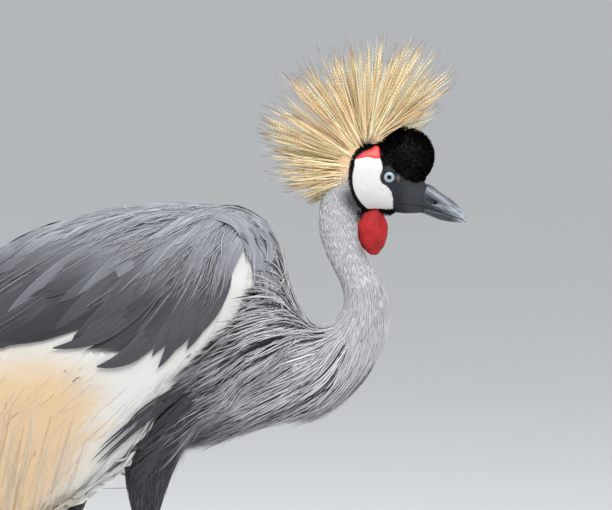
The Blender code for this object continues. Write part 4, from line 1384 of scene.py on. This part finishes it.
class CRANE_OT_neck(bpy.types.Operator):
    """Lay the fine feathers of the neck and the long hackles under it"""

    bl_idname = "crane.neck"
    bl_label = "Neck and hackles"

    def execute(self, context):
        rng = new_rng(2)
        fine = feather_material("neck_feathers", 0.02, 0.5, 0.03, 30.0, 0.85, 0.3, 0.06)
        neck = Coat("neck_feathers")

        def nape(points, _normals):
            return (black_face(points) < 0.5) & (points[:, 2] / MM < 690)

        add_tract(neck, rng, "face", 1500, ((640, 8), (700, 9)), ((640, 1.2), (700, 1.1)), 4,
                  ((0, 0), (0.4, 0.5), (1, 0.6)), wanted=nape, thickness=0.25, jitter=0.015, stray=0.04)
        add_tract(neck, rng, "neck", 7800, ((440, 30), (500, 22), (540, 14), (600, 10), (680, 8)),
                  ((440, 2.0), (560, 1.6), (680, 1.2)), 4,
                  ((0, 0), (0.4, 0.55), (1, 0.7)), tip_gain=1.01, thickness=0.2, jitter=0.015, stray=0.03)
        neck.build(fine, slot="grey_feather")
        lines = Coat("neck_strands")

        def low(points, _normals):
            return points[:, 2] / MM < 575

        add_tract(lines, rng, "neck", 2400, ((440, 66), (500, 48), (540, 26), (575, 14)),
                  ((440, 1.15), (540, 0.9), (575, 0.5)), 6,
                  ((0, 0), (0.4, 1.3), (1, 2.0)), tip_gain=1.06, wanted=low, thickness=0.6, jitter=0.09, stray=0.05,
                  curl=0.02)
        lines.build(fine, slot="grey_feather")
        loose = feather_material("hackle_feathers", 0.3, 0.4, 0.2, 40.0, 0.75, 0.2, 0.3)
        hackles = Coat("hackle_feathers")

        def lower_neck(points, _normals):
            return points[:, 2] / MM < 532 - 0.35 * (points[:, 0] / MM - 190)

        add_tract(hackles, rng, "hackles", 1300, ((390, 60), (430, 88), (480, 100), (520, 80)),
                  ((390, 1.8), (480, 2.0)), 8,
                  ((0, 0), (0.3, 3.0), (1, 4.6)), tint=hackle_tint, tip_gain=0.75, thickness=0.3, jitter=0.22,
                  stray=0.07, curl=0.03,
                  cling=hold_until(8, 0.7, 0.0), fall=0.02, flare=0.1)
        add_tract(hackles, rng, "neck", 1300, ((440, 120), (480, 104), (530, 80)), ((440, 1.8), (520, 1.5)), 8,
                  ((0, 0), (0.3, 2.8), (1, 5.2)), tint=hackle_tint, tip_gain=0.85, wanted=lower_neck, thickness=0.35,
                  jitter=0.14,
                  stray=0.07, curl=0.04, cling=hold_until(8, 0.8, 0.1), flare=0.05)
        fan = rounded_loop(HACKLE_FAN, 2)

        def fanned(points, _normals):
            return inside_distance(side_view(points), fan) > 0

        add_tract(hackles, rng, "hackles", 1450, ((420, 80), (480, 84), (530, 66), (570, 44)),
                  ((420, 1.7), (560, 1.9)), 8,
                  ((0, 0), (0.3, 4.5), (1, 7.5)), tint=fan_tint, tip_gain=0.85, thickness=0.45, jitter=0.12, stray=0.1,
                  curl=0.06, wanted=fanned, also=("breast", "neck"), lie="fan", cling=hold_until(8, 0.9, 0.5))
        hackles.build(loose, slot="grey_feather")
        wisps = Coat("hackle_wisps")
        add_tract(wisps, rng, "hackles", 900, ((390, 84), (430, 104), (480, 118), (520, 84)),
                  ((390, 0.9), (480, 1.0)), 9,
                  ((0, 0), (0.3, 3.4), (1, 5.0)), tint=wisp_tint, tip_gain=0.8, thickness=0.7, jitter=0.2, stray=0.12,
                  curl=0.07,
                  cling=hold_until(9, 0.5, 0.0), fall=0.02, flare=0.16)

        def underside(points, normals):
            places = side_view(points)
            return (normals[:, 2] < 0.2) & (places[:, 0] > 95) & (places[:, 0] < 235) & (places[:, 1] < 480)

        add_tract(wisps, rng, "hackles", 620, ((390, 90), (480, 112)), ((390, 1.1), (480, 1.3)), 9,
                  ((0, 0), (0.3, 3.0), (1, 4.0)),
                  tint=fan_tint, tip_gain=0.7, thickness=0.6, jitter=0.25, stray=0.08, curl=0.05, wanted=underside,
                  also=("neck",), lie="fan", cling=hold_until(9, 0.2, 0.0), fall=0.03, flare=0.03)
        wisps.build(loose, slot="grey_feather")
        return {"FINISHED"}


def hold_until(steps, start, end):
    """How firmly each step of a feather keeps to the skin, firm at its root."""
    share = np.linspace(0, 1, steps)
    return (1 - smooth_step(share, start * 0.5, 1) * (1 - end))[None, :]


def hackle_tint(roots, rng):
    shades = colours()
    places = side_view(roots)
    height = places[:, 1] - 0.35 * (190 - places[:, 0])
    share = smooth_step(height + rng.normal(0, 16, len(roots)), 380, 500)[:, None]
    lit = shades["mid"] * 0.7 * (1 - share) + shades["pale"] * 0.85 * share
    darker = rng.random((len(roots), 1)) < 0.22 * (1.4 - share)
    return np.where(darker, shades["slate"] * 1.1, lit)


def fan_tint(roots, rng):
    shades = colours()
    share = smooth_step(side_view(roots)[:, 0], 110, 215)[:, None]
    lit = shades["pale"] * (0.75 + 0.35 * share) * rng.uniform(0.75, 1.2, (len(roots), 1))
    return np.where(rng.random((len(roots), 1)) < 0.22, shades["slate"] * 0.5, lit)


def wisp_tint(roots, rng):
    shades = colours()
    dark = rng.random((len(roots), 1)) < 0.4
    return np.where(dark, shades["slate"] * 0.9, shades["pale"] * rng.uniform(0.6, 0.9, (len(roots), 1)))


class CRANE_OT_breast(bpy.types.Operator):
    """Lay the dark plumes of the breast, flanks and belly, with their grey edges"""

    bl_idname = "crane.breast"
    bl_label = "Breast and flanks"

    def execute(self, context):
        rng = new_rng(3)
        panel = rounded_loop(WHITE_PANEL, 2)
        dark = feather_material("slate_feathers", 0.7, 0.55, 0.3, 40.0, 0.75, 0.15, 0.3)
        breast = Coat("breast_feathers")
        drape = rounded_loop(DRAPE, 2)

        def undraped(points, _normals):
            return inside_distance(side_view(points), drape) < -2

        add_tract(breast, rng, "breast", 2600, ((300, 40), (420, 52), (520, 40), (640, 26)),
                  ((300, 5.5), (480, 5.0), (640, 3.2)), 6,
                  ((0, 0), (0.4, 2.6), (1, 3.8)), tint=slate_tint, tip_gain=1.15, thickness=0.16, jitter=0.16,
                  stray=0.07,
                  section="vane", avoid=panel, margin=9.0, wanted=undraped)
        for side in SIDES:
            for line in FLANK_PLUMES:
                lock(breast, rng, line, side, 7, 4.2, line[3] * 0.36, colours()["slate"] * 0.9)
        breast.build(dark, slot="slate_feather")
        curls = Coat("shoulder_strands")

        def shoulder(points, normals):
            places = side_view(points)
            clear = inside_distance(places, drape) < 3
            return clear & (places[:, 1] > 400 + 0.5 * (places[:, 0] - 40)) & (places[:, 0] > 50) & (normals[:,
                                                                                                             2] > -0.75)

        add_tract(curls, rng, "breast", 2300, ((400, 62), (500, 56), (560, 34), (660, 24)), ((400, 1.7), (660, 1.9)), 8,
                  ((0, 0), (0.3, 3.6), (1, 5.2)), tint=strand_tint, tip_gain=0.9, wanted=shoulder, thickness=0.6,
                  jitter=0.14,
                  stray=0.12, curl=0.08, turn=0.4, avoid=panel, margin=9.0)
        curls.build(dark, slot="slate_feather")
        return {"FINISHED"}


def lock(coat, rng, line, side, count, spread, width, colour, gain=1.4):
    """Lays several narrow feathers side by side along one named line."""
    for _ in range(count):
        shift = rng.normal(0, spread, 2)
        flare = rng.uniform(0.8, 1.5)
        places = [np.array(place, float) + shift * scale for place, scale in zip(line[:3], (0.8, 1.0, flare))]
        places[2] = places[1] + (places[2] - places[1]) * rng.uniform(0.75, 1.05)
        path, under = laid(places, LOCK_STEPS, ((0, 1), (0.3, 4.5), (1, 6)), side)
        base = (colour * rng.uniform(0.8, 1.25))[None]
        width_here = [width * rng.uniform(0.7, 1.1)]
        coat.add(path, under, width_here, 0.16, graded(base, base * gain, LOCK_STEPS, rng, 0.05), rng, "vane")


def slate_tint(roots, rng):
    shades = colours()
    # Darker towards the front, where the hackles hang over the breast: painted shade.
    front = smooth_step(side_view(roots)[:, 0], 70, 140)[:, None]
    return shades["slate"] * rng.uniform(0.5, 1.05, (len(roots), 1)) * (1 - 0.7 * front)


def strand_tint(roots, rng):
    shades = colours()
    places = side_view(roots)
    nearer = smooth_step(places[:, 0] - 0.25 * (places[:, 1] - 500), 90, 175)[:, None]
    grey = (shades["mid"] * (1 - nearer) * 0.6 + shades["pale"] * nearer) * rng.uniform(0.7, 1.25, (len(roots), 1))
    return np.where(rng.random((len(roots), 1)) < 0.26, shades["slate"] * 0.6, grey)


class CRANE_OT_mantle(bpy.types.Operator):
    """Lay the long pointed feathers of the back and shoulders"""

    bl_idname = "crane.mantle"
    bl_label = "Back and shoulders"

    def execute(self, context):
        rng = new_rng(4)
        grey = feather_material("mantle_feathers", 0.3, 0.72, 0.22, 70.0, 0.62, 0.2, 0.25)
        outline = rounded_loop(MANTLE_EDGE, 2)
        mantle = Coat("mantle_feathers")

        def upper(points, _normals):
            return (inside_distance(side_view(points), outline) > 3) | (points[:, 2] > 0.63)

        add_tract(mantle, rng, "mantle", 1500, ((480, 70), (560, 105), (620, 112), (660, 84)),
                  ((480, 17), (560, 24), (620, 20), (660, 9)),
                  9, ((0, -1), (0.3, 2.0), (1, 3.8)), trail="back", thickness=0.07, jitter=0.16, stray=0.05,
                  section="broad", spacing=12.5, edge=outline, margin=3.0, turn=0.35, wanted=upper)
        shades = colours()
        for side in SIDES:
            for line in SCAPULARS:
                path, under = laid(line, SCAPULAR_STEPS, ((0, -3), (0.3, 1.5), (0.7, 5.0), (1, 4.8)), side)
                base = shades[line[4]][None] * (0.9 if line[4] == "shadow" else 0.56)
                tint = graded(base, base * 0.85, SCAPULAR_STEPS, rng, 0.04)
                mantle.add(path, under, [line[3] * 1.15], 0.1, tint, rng, "broad")
            for line in SHOULDER_DRAPES:
                lock(mantle, rng, line, side, 7, 2.2, 5.5, shades["mid"] * 0.7, gain=1.15)
        drape = rounded_loop(DRAPE, 2)

        def draped(points, _normals):
            return (inside_distance(side_view(points), drape) > -1) & (np.abs(points[:, 1]) > 0.004)

        add_tract(mantle, rng, "mantle", 420, ((560, 40), (610, 48), (660, 40)), ((560, 6), (610, 8), (660, 7)), 9,
                  ((0, 0), (0.3, 3.5), (1, 5.5)), tint=drape_tint, tip_gain=1.1, thickness=0.14, jitter=0.14,
                  stray=0.06,
                  section="vane", spacing=5.0, wanted=draped, also=("breast", "coverts"), lie="drape", curl=0.04)
        mantle.build(grey, slot="grey_feather")
        strands = Coat("mantle_strands")

        def forward(points, _normals):
            places = side_view(points)
            return places[:, 0] * 0.5 + places[:, 1] > 625

        add_tract(strands, rng, "mantle", 900, ((540, 40), (620, 50), (660, 36)), ((540, 1.0), (660, 0.9)), 7,
                  ((0, 0), (0.3, 3.8), (1, 5.2)), tint=edge_tint, tip_gain=1.1, wanted=forward, thickness=0.4,
                  jitter=0.12, stray=0.16,
                  curl=0.12, edge=outline, margin=2.0)
        add_tract(strands, rng, "mantle", 420, ((480, 70), (560, 90), (660, 80)), ((480, 1.3), (660, 1.1)), 7,
                  ((0, 0), (0.3, 3.6), (1, 5.0)), tint=edge_tint, thickness=0.4, jitter=0.15, stray=0.05,
                  edge=outline, margin=2.0)
        strands.build(grey, slot="grey_feather")
        return {"FINISHED"}


def drape_tint(roots, rng):
    return colours()["mid"] * rng.uniform(0.45, 0.95, (len(roots), 1))


def edge_tint(roots, rng):
    shades = colours()
    base = zone_tint("back", roots)
    lift = rng.uniform(0.1, 0.6, (len(roots), 1)) * smooth_step(side_view(roots)[:, 1], 540, 650)[:, None]
    return base * 1.1 + (shades["pale"] * 0.8 - base) * lift


class CRANE_OT_wings(bpy.types.Operator):
    """Lay the white coverts, the straw plumes and the dark flight feathers"""

    bl_idname = "crane.wings"
    bl_label = "Wings and tail"

    def execute(self, context):
        rng = new_rng(5)
        white = feather_material("white_feathers", 0.0, 0.7, 0.03, 50.0, 0.8, 0.3, 0.08)
        outline = rounded_loop(MANTLE_EDGE, 2)
        coverts = Coat("covert_feathers")

        def below(points, _normals):
            places = side_view(points)
            mantle = inside_distance(places, outline)
            return (mantle < 6) & ((places[:, 1] < 600) | (places[:, 0] > 95))

        add_tract(coverts, rng, "coverts", 3000, ((330, 64), (480, 70), (620, 40)), ((330, 20), (480, 22), (620, 12)),
                  7,
                  ((0, -1.0), (0.35, 0.25), (1, 0.45)), thickness=0.03, jitter=0.0, stray=0.015, section="vane",
                  spacing=7.5, wanted=below, also=("mantle",), trail="coverts", edge=rounded_loop(COVERT_EDGE, 2),
                  margin=1.0)
        coverts.build(white, slot="white_feather")
        soft = feather_material("straw_feathers", 0.03, 0.5, 0.06, 40.0, 0.8, 0.35, 0.12)
        plumes = Coat("straw_plumes")
        add_tract(plumes, rng, "plumes", 2600, ((290, 50), (400, 80), (480, 90)), ((290, 15), (480, 18)), 7,
                  ((0, -1.0), (0.35, 0.25), (1, 0.5)), trail="coverts", thickness=0.03, jitter=0.01, stray=0.02,
                  facing=0.2,
                  section="vane", spacing=8.0)
        for zone, count, lengths, width, lift in (
            ("plumes", 420, ((290, 60), (400, 90), (480, 100)), 0.8, ((0, -1), (0.3, 1.0), (1, 1.6))),
            ("coverts", 120, ((290, 60), (400, 80), (520, 80)), 0.7, ((0, -1), (0.3, 0.8), (1, 1.2))),
        ):
            add_tract(plumes, rng, zone, count, lengths, ((290, width), (480, width)), 8, lift, tint=plume_tint,
                      tip_gain=1.03, thickness=0.4, jitter=0.04, stray=0.05, curl=0.02)
        plumes.build(soft, slot="straw_plume")
        brown = feather_material("flight_feathers", 0.3, 0.8, 0.2, 120.0, 0.5, 0.1, 0.3)
        flight = Coat("secondary_feathers")
        add_tract(flight, rng, "secondaries", 700, ((250, 60), (330, 100), (460, 130)), ((250, 14), (460, 20)), 9,
                  ((0, 0), (0.3, 2.0), (1, 3.4)), tip_gain=0.75, thickness=0.07, jitter=0.16, stray=0.04,
                  section="broad",
                  outline="blunt", spacing=12.0)
        flight.build(brown, slot="chestnut_feather")
        black = Coat("primary_feathers")
        for zone in ("primaries", "tail"):
            add_tract(black, rng, zone, 260, ((250, 50), (460, 60)), ((250, 12), (460, 14)), 8,
                      ((0, 0), (0.3, 1.0), (1, 1.6)), tip_gain=0.8, thickness=0.07, jitter=0.2, stray=0.04,
                      section="broad",
                      outline="blunt", spacing=9.0)
        black.build(brown, slot="black_feather")
        return {"FINISHED"}


def plume_tint(roots, rng):
    shades = colours()
    base = zone_tint("coverts", roots)
    pale = rng.random((len(roots), 1)) < 0.6
    return np.where(pale, base + (shades["white"] - base) * 0.7, base * np.array((0.97, 0.9, 0.82)))


class CRANE_OT_thighs(bpy.types.Operator):
    """Lay the streaked feathers of the thighs"""

    bl_idname = "crane.thighs"
    bl_label = "Thighs"

    def execute(self, context):
        rng = new_rng(6)
        dark = feather_material("thigh_feathers", 0.6, 0.5, 0.4, 40.0, 0.75, 0.15, 0.3)
        thighs = Coat("thigh_feathers")
        add_tract(thighs, rng, "thigh", 2400, ((300, 16), (360, 26), (480, 40)), ((300, 2.2), (480, 3.4)), 5,
                  ((0, 0), (0.4, 2.0), (1, 3.0)), tint=slate_tint, tip_gain=1.3, thickness=0.3, jitter=0.3, stray=0.1)
        add_tract(thighs, rng, "thigh", 900, ((300, 22), (360, 40), (480, 60)), ((300, 0.9), (480, 1.2)), 6,
                  ((0, 0), (0.4, 3.0), (1, 4.2)), tint=thigh_streak, tip_gain=1.2, thickness=0.6, jitter=0.3,
                  stray=0.12, curl=0.06)
        thighs.build(dark, slot="slate_feather")
        return {"FINISHED"}


def thigh_streak(roots, rng):
    return colours()["slate"] * rng.uniform(0.8, 2.0, (len(roots), 1))


class CRANE_OT_crown(bpy.types.Operator):
    """Raise the crown of twisted bristles"""

    bl_idname = "crane.crown"
    bl_label = "Crown"

    def execute(self, context):
        rng = new_rng(7)
        shades = colours()
        settings = context.scene.crane_coat
        clumps = settings.crest_clumps
        steps = 13
        low, high = CREST_REACH[0][0], CREST_REACH[-1][0]
        clump_angle = np.linspace(low, high, clumps) + rng.normal(0, 1.2, clumps)
        clump_lean = np.clip(rng.normal(0, 0.5, clumps), -1, 1) * CREST_SPREAD
        clump_reach = 1 - 0.16 * rng.random(clumps) ** 1.5
        count = settings.crest_bristles
        member = rng.integers(0, clumps, count)
        pull = rng.normal(0, 1, count)
        tip_angle = clump_angle[member] + pull * 1.6
        root_angle = clump_angle[member] + pull * 5.0
        lean = clump_lean[member] + rng.normal(0, 2.2, count)
        lean *= np.interp(tip_angle, (14, 40, 75), (0.15, 0.35, 1.0))
        reach = np.interp(tip_angle, *zip(*CREST_REACH)) * clump_reach[member] * (1.01 - 0.3 * rng.random(count) ** 1.7)
        tips = fan_places(np.tile(np.array((CREST_ROOT[0], 0, CREST_ROOT[1])), (count, 1)), tip_angle, lean, reach)
        table = np.array(CREST_ROOTS)
        bases = np.stack([np.interp(root_angle, table[:, 0], table[:, 1]), rng.uniform(-9, 9, count) + lean * 0.2,
                          np.interp(root_angle, table[:, 0], table[:, 2])], 1)
        bases[:, [0, 2]] += rng.normal(0, 1.6, (count, 2))
        for base, share in zip(bases, lean / CREST_SPREAD):
            sign = -1 if share < 0 else 1
            found = Skin.tree.ray_cast(Vector((base[0] * MM, sign * 0.1, base[2] * MM)), Vector((0, -sign, 0)))[0]
            if found is not None:
                base[1] = (found.y / MM - sign) * min(1.0, abs(share) ** 0.5 * rng.uniform(0.8, 1.25))
        along = np.linspace(0, 1, steps)[None, :, None]
        path = bases[:, None] * (1 - along) + tips[:, None] * along
        across = unit(np.cross(tips - bases, (0, 1, 0)))
        wave = np.sin(along * rng.uniform(9, 15, (count, 1, 1)) + rng.random((count, 1, 1)) * 6.3)
        path += across[:, None] * (wave * 0.55 * along + rng.normal(0, 3.2, (count, 1, 1)) * (along - along**2))
        path *= MM
        under = np.repeat(unit(np.cross(tips - bases, (0.1, 1, 0.2)))[:, None], steps, 1)
        gain = np.exp(rng.normal(0.05, 0.17, (count, 1, 1)))
        tint = shades["bristle"] * (1 + 0.1 * smooth_step(along, 0.1, 0.7)) * gain
        olive = np.array(linear(190, 158, 114))
        tint = tint + (olive - tint) * (rng.random((count, 1, 1)) < 0.2) * 0.55 * smooth_step(along, 0.2, 0.6)
        tipped = (rng.random((count, 1, 1)) < 0.85) * smooth_step(along, 0.88, 0.95)
        tint = tint + (shades["black"] * 1.5 - tint) * tipped
        crown = Coat("crown_bristles")
        crown.add(path, under, rng.uniform(0.9, 1.5, count), 0.6, tint, rng, "strand", "hair", twist=9.0)
        crown.build(bristle_material(), "crest", slot="straw_bristle")
        return {"FINISHED"}


def fan_places(centres, angles, leans, reach):
    """Places at a reach from centres, by angle in the side view and by lean to the side."""
    angle, lean = np.radians(angles), np.radians(leans)
    way = np.stack([np.cos(angle) * np.cos(lean), np.sin(lean), np.sin(angle) * np.cos(lean)], 1)
    return centres + way * reach[:, None]


# Bare parts


class CRANE_OT_bill(bpy.types.Operator):
    """Shape the bill with its nostrils, its edges and its growth lines"""

    bl_idname = "crane.bill"
    bl_label = "Bill"

    def execute(self, context):
        surface = remeshed(["bill_upper", "bill_lower"], 0.0007, 0.0004, 3)
        surface.normal_update()
        normals = [vertex.normal.copy() for vertex in surface.verts]
        places = side_view(np.array([vertex.co for vertex in surface.verts]))
        x, z = (places - NOSTRIL).T
        forward = x * math.cos(NOSTRIL_SLOPE) - z * math.sin(NOSTRIL_SLOPE)
        upward = x * math.sin(NOSTRIL_SLOPE) + z * math.cos(NOSTRIL_SLOPE)
        pit = np.exp(-(np.hypot(forward / NOSTRIL_SPAN[0], upward / NOSTRIL_SPAN[1]) ** 7))
        seam = ridge_along(places, GAPE, 0.75)
        groove = ridge_along(places, BILL_GROOVE, 1.2)
        swell = smooth_step(-places[:, 0], -340, -323)
        for vertex, normal, hole, line, fold, wide in zip(surface.verts, normals, pit, seam, groove, swell):
            lateral = abs(normal.y) ** 0.5
            depth = (hole * NOSTRIL_DEPTH + line * 0.9 + fold * 0.4) * lateral
            vertex.co -= Vector((0, math.copysign(depth * MM, vertex.co.y), 0)) + normal * (wide * 1.3 * MM)
        bill = finish_mesh(surface, "bill_horn", horn_material())
        # Paler at the tip, and painted highlight along the culmen and the side of the upper bill.
        ridge_highlight = ridge_along(places, BILL_RIDGE_HIGHLIGHT, 3.4)
        side = ridge_along(places, BILL_SIDE_HIGHLIGHT, 2.6)
        tip = smooth_step(places[:, 0], 350, 366)
        write_attribute(bill.data, "pale", "FLOAT", np.clip(tip * 0.8 + ridge_highlight * 0.7 + side * 0.9, 0, 1))
        # The nostril's pit and the seam between the mandibles painted near black: painted shade in the hole and the
        # gap.
        write_attribute(bill.data, "pit", "FLOAT", np.clip(np.maximum(pit * 1.3, seam * 0.62), 0, 1))
        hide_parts("bill_upper", "bill_lower")
        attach(bill, ROOT_BODY)
        return {"FINISHED"}


class CRANE_OT_wattle(bpy.types.Operator):
    """Shape the soft red wattle under the throat"""

    bl_idname = "crane.wattle"
    bl_label = "Wattle"

    def execute(self, context):
        surface = remeshed(["wattle"], 0.001, rounds=4)
        surface.normal_update()
        moves = []
        for vertex in surface.verts:
            x, z = vertex.co.x / MM, vertex.co.z / MM
            wave = 0.35 * math.sin(x * 0.7 + 0.6 * math.sin(z * 0.35)) + 0.25 * math.sin(z * 0.5 + x * 0.2)
            fuller = 1.3 + 1.6 * max(0.0, -vertex.normal.x) * float(smooth_step(vertex.co.z, 0.612, 0.632))
            moves.append(vertex.normal * ((wave * 0.5 + fuller) * MM))
        for vertex, move in zip(surface.verts, moves):
            vertex.co += move
            vertex.co.x += min(0.0, vertex.co.x - 0.268) * 0.3 * float(smooth_step(vertex.co.z, 0.622, 0.64))
        wattle = finish_mesh(surface, "wattle_skin", wattle_material())
        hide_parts("wattle")
        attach(wattle, ROOT_BODY)
        return {"FINISHED"}


class CRANE_OT_eyes(bpy.types.Operator):
    """Set the pale eyes in their lids"""

    bl_idname = "crane.eyes"
    bl_label = "Eyes"

    def execute(self, context):
        material = eye_material()
        for side, sign in SIDES.items():
            ball = bmesh.new()
            bmesh.ops.create_icosphere(ball, subdivisions=5, radius=EYE_RADIUS * MM)
            for vertex in ball.verts:
                radius = math.hypot(vertex.co.x, vertex.co.z) / MM
                if vertex.co.y * sign > 0:
                    vertex.co.y += sign * 0.35 * MM * math.exp(-((radius / 4.2) ** 2))
            place = Vector((EYE_PLACE[0], sign * EYE_PLACE[1], EYE_PLACE[2])) * MM
            bmesh.ops.translate(ball, verts=ball.verts, vec=place)
            eye = finish_mesh(ball, f"eyeball_{side}", material)
            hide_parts(f"eye_{side}")
            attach(eye, ROOT_BODY)
        return {"FINISHED"}


class CRANE_OT_legs(bpy.types.Operator):
    """Shape the scaled legs and feet, and the claws"""

    bl_idname = "crane.legs"
    bl_label = "Legs and claws"

    def execute(self, context):
        scales, horn = leg_material(), claw_material()
        for side in SIDES:
            nodes = [f"shank_{side}", f"tarsus_{side}", f"foot_{side}"]
            surface = remeshed(nodes, 0.0016, 0.0003, 2, LEG_JOINTS[side])
            surface.normal_update()
            scutes = []
            for vertex in surface.verts:
                rows = 0.5 - 0.5 * math.cos(2 * math.pi * vertex.co.z / (6.5 * MM))
                if vertex.co.z < 0.022:
                    rows = 0.5 - 0.5 * math.cos(2 * math.pi * math.hypot(vertex.co.x, vertex.co.y) / (4.2 * MM))
                facing = max(vertex.normal.x, vertex.normal.z if vertex.co.z < 0.03 else 0)
                share = float(smooth_step(facing, 0.35, 0.7))
                scutes.append(1 - share * (1 - min(1.0, rows * 3)))
                if vertex.co.z > 0.004:
                    vertex.co -= vertex.normal * (0.35 * MM * (1 - scutes[-1]) + 0.2 * MM)
                vertex.co.z = max(vertex.co.z, 0.0)
            leg = finish_mesh(surface, f"leg_{side}", scales)
            write_attribute(leg.data, "scute", "FLOAT", scutes)
            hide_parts(*nodes)
            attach(leg, ROOT_BODY)
            for toe in ("middle", "outer", "inner", "hind"):
                node = f"claw_{side}_{toe}"
                claw = finish_mesh(remeshed([node], 0.0006, rounds=2), f"{node}_horn", horn)
                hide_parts(node)
                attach(claw, ROOT_BODY)
        return {"FINISHED"}


# The stage

# Soft lights, each with its name, place, width, power and colour.
LIGHTS = (
    ("key_light", (1.0, -2.2, 3.0), 1.6, 95, (1.0, 0.985, 0.96)),
    ("sky_light", (-0.6, 0.6, 3.4), 2.6, 60, (0.96, 0.98, 1.0)),
    ("fill_light", (-2.4, -2.0, 1.2), 2.0, 16, (1.0, 1.0, 1.0)),
)
LIGHTS_AIM = (0.1, 0, 0.5)
SENSOR = 36.0
FLOOR_RADIUS = 60.0


def aim_at(obj, target):
    obj.rotation_euler = (Vector(target) - obj.location).to_track_quat("-Z", "Y").to_euler()


def soft_light(name, place, size, power, colour):
    light = bpy.data.lights.new(name, "AREA")
    light.shape = "DISK"
    light.size = size
    light.energy = power
    light.color = colour
    obj = bpy.data.objects.new(name, light)
    bpy.context.scene.collection.objects.link(obj)
    obj.location = place
    aim_at(obj, LIGHTS_AIM)


class CRANE_OT_stage(bpy.types.Operator):
    """Lay the pale floor, hang the soft lights and set the camera as the picture has it"""

    bl_idname = "crane.stage"
    bl_label = "Stage"

    def execute(self, context):
        settings = context.scene.crane_stage
        ground = bmesh.new()
        bmesh.ops.create_circle(ground, cap_ends=True, segments=96, radius=FLOOR_RADIUS)
        floor_material, tree, shader = node_tree_of("floor")
        tone = mixed_colour(tree, object_noise(tree, 3, 2), (0.66, 0.66, 0.65), (0.68, 0.68, 0.67))
        fill(tree, shader, Base_Color=tone, Roughness=0.9)
        floor = finish_mesh(ground, "floor", floor_material)
        world = bpy.data.worlds.new("studio")
        world.use_nodes = True
        background = world.node_tree.nodes["Background"]
        background.inputs[0].default_value = (0.86, 0.9, 0.95, 1)
        background.inputs[1].default_value = 0.75
        context.scene.world = world
        for light in LIGHTS:
            soft_light(*light)
        camera = bpy.data.objects.new("camera", bpy.data.cameras.new("camera"))
        context.scene.collection.objects.link(camera)
        camera.data.sensor_width = SENSOR
        camera.data.lens = SENSOR * settings.distance / settings.view_width
        aim = Vector(settings.aim)
        back = Vector((0, -math.cos(settings.height), math.sin(settings.height)))
        camera.location = aim + back * settings.distance
        aim_at(camera, aim)
        camera.data.clip_end = 200
        context.scene.camera = camera
        context.scene.view_settings.view_transform = "Standard"
        return {"FINISHED"}


OPERATORS = (
    CRANE_OT_skin,
    CRANE_OT_eyes,
    CRANE_OT_bill,
    CRANE_OT_wattle,
    CRANE_OT_legs,
    CRANE_OT_face,
    CRANE_OT_neck,
    CRANE_OT_breast,
    CRANE_OT_mantle,
    CRANE_OT_wings,
    CRANE_OT_thighs,
    CRANE_OT_crown,
    CRANE_OT_stage,
)


class CRANE_PT_panel(bpy.types.Panel):
    """The crane's settings and its pieces, in the order they are made"""

    bl_idname = "CRANE_PT_panel"
    bl_label = "Crane"
    bl_space_type = "VIEW_3D"
    bl_region_type = "UI"
    bl_category = "Crane"

    def draw(self, context):
        for group in (context.scene.crane_coat, context.scene.crane_colours, context.scene.crane_stage):
            box = self.layout.box()
            for name in type(group).__annotations__:
                box.prop(group, name)
        for operator in OPERATORS:
            self.layout.operator(operator.bl_idname)


SETTINGS = {"crane_colours": CraneColours, "crane_coat": CraneCoat, "crane_stage": CraneStage}


def register():
    for group in SETTINGS.values():
        bpy.utils.register_class(group)
    for name, group in SETTINGS.items():
        setattr(bpy.types.Scene, name, bpy.props.PointerProperty(type=group))
    for cls in (*OPERATORS, CRANE_PT_panel):
        bpy.utils.register_class(cls)


def unregister():
    for cls in (CRANE_PT_panel, *reversed(OPERATORS)):
        bpy.utils.unregister_class(cls)
    for name, group in SETTINGS.items():
        delattr(bpy.types.Scene, name)
        bpy.utils.unregister_class(group)


def main():
    register()
    for name in ("Cube", "Light", "Camera"):
        if name in bpy.data.objects:
            bpy.data.objects.remove(bpy.data.objects[name])
    for operator in OPERATORS:
        family, call = operator.bl_idname.split(".")
        getattr(getattr(bpy.ops, family), call)()


if __name__ == "__main__":
    main()
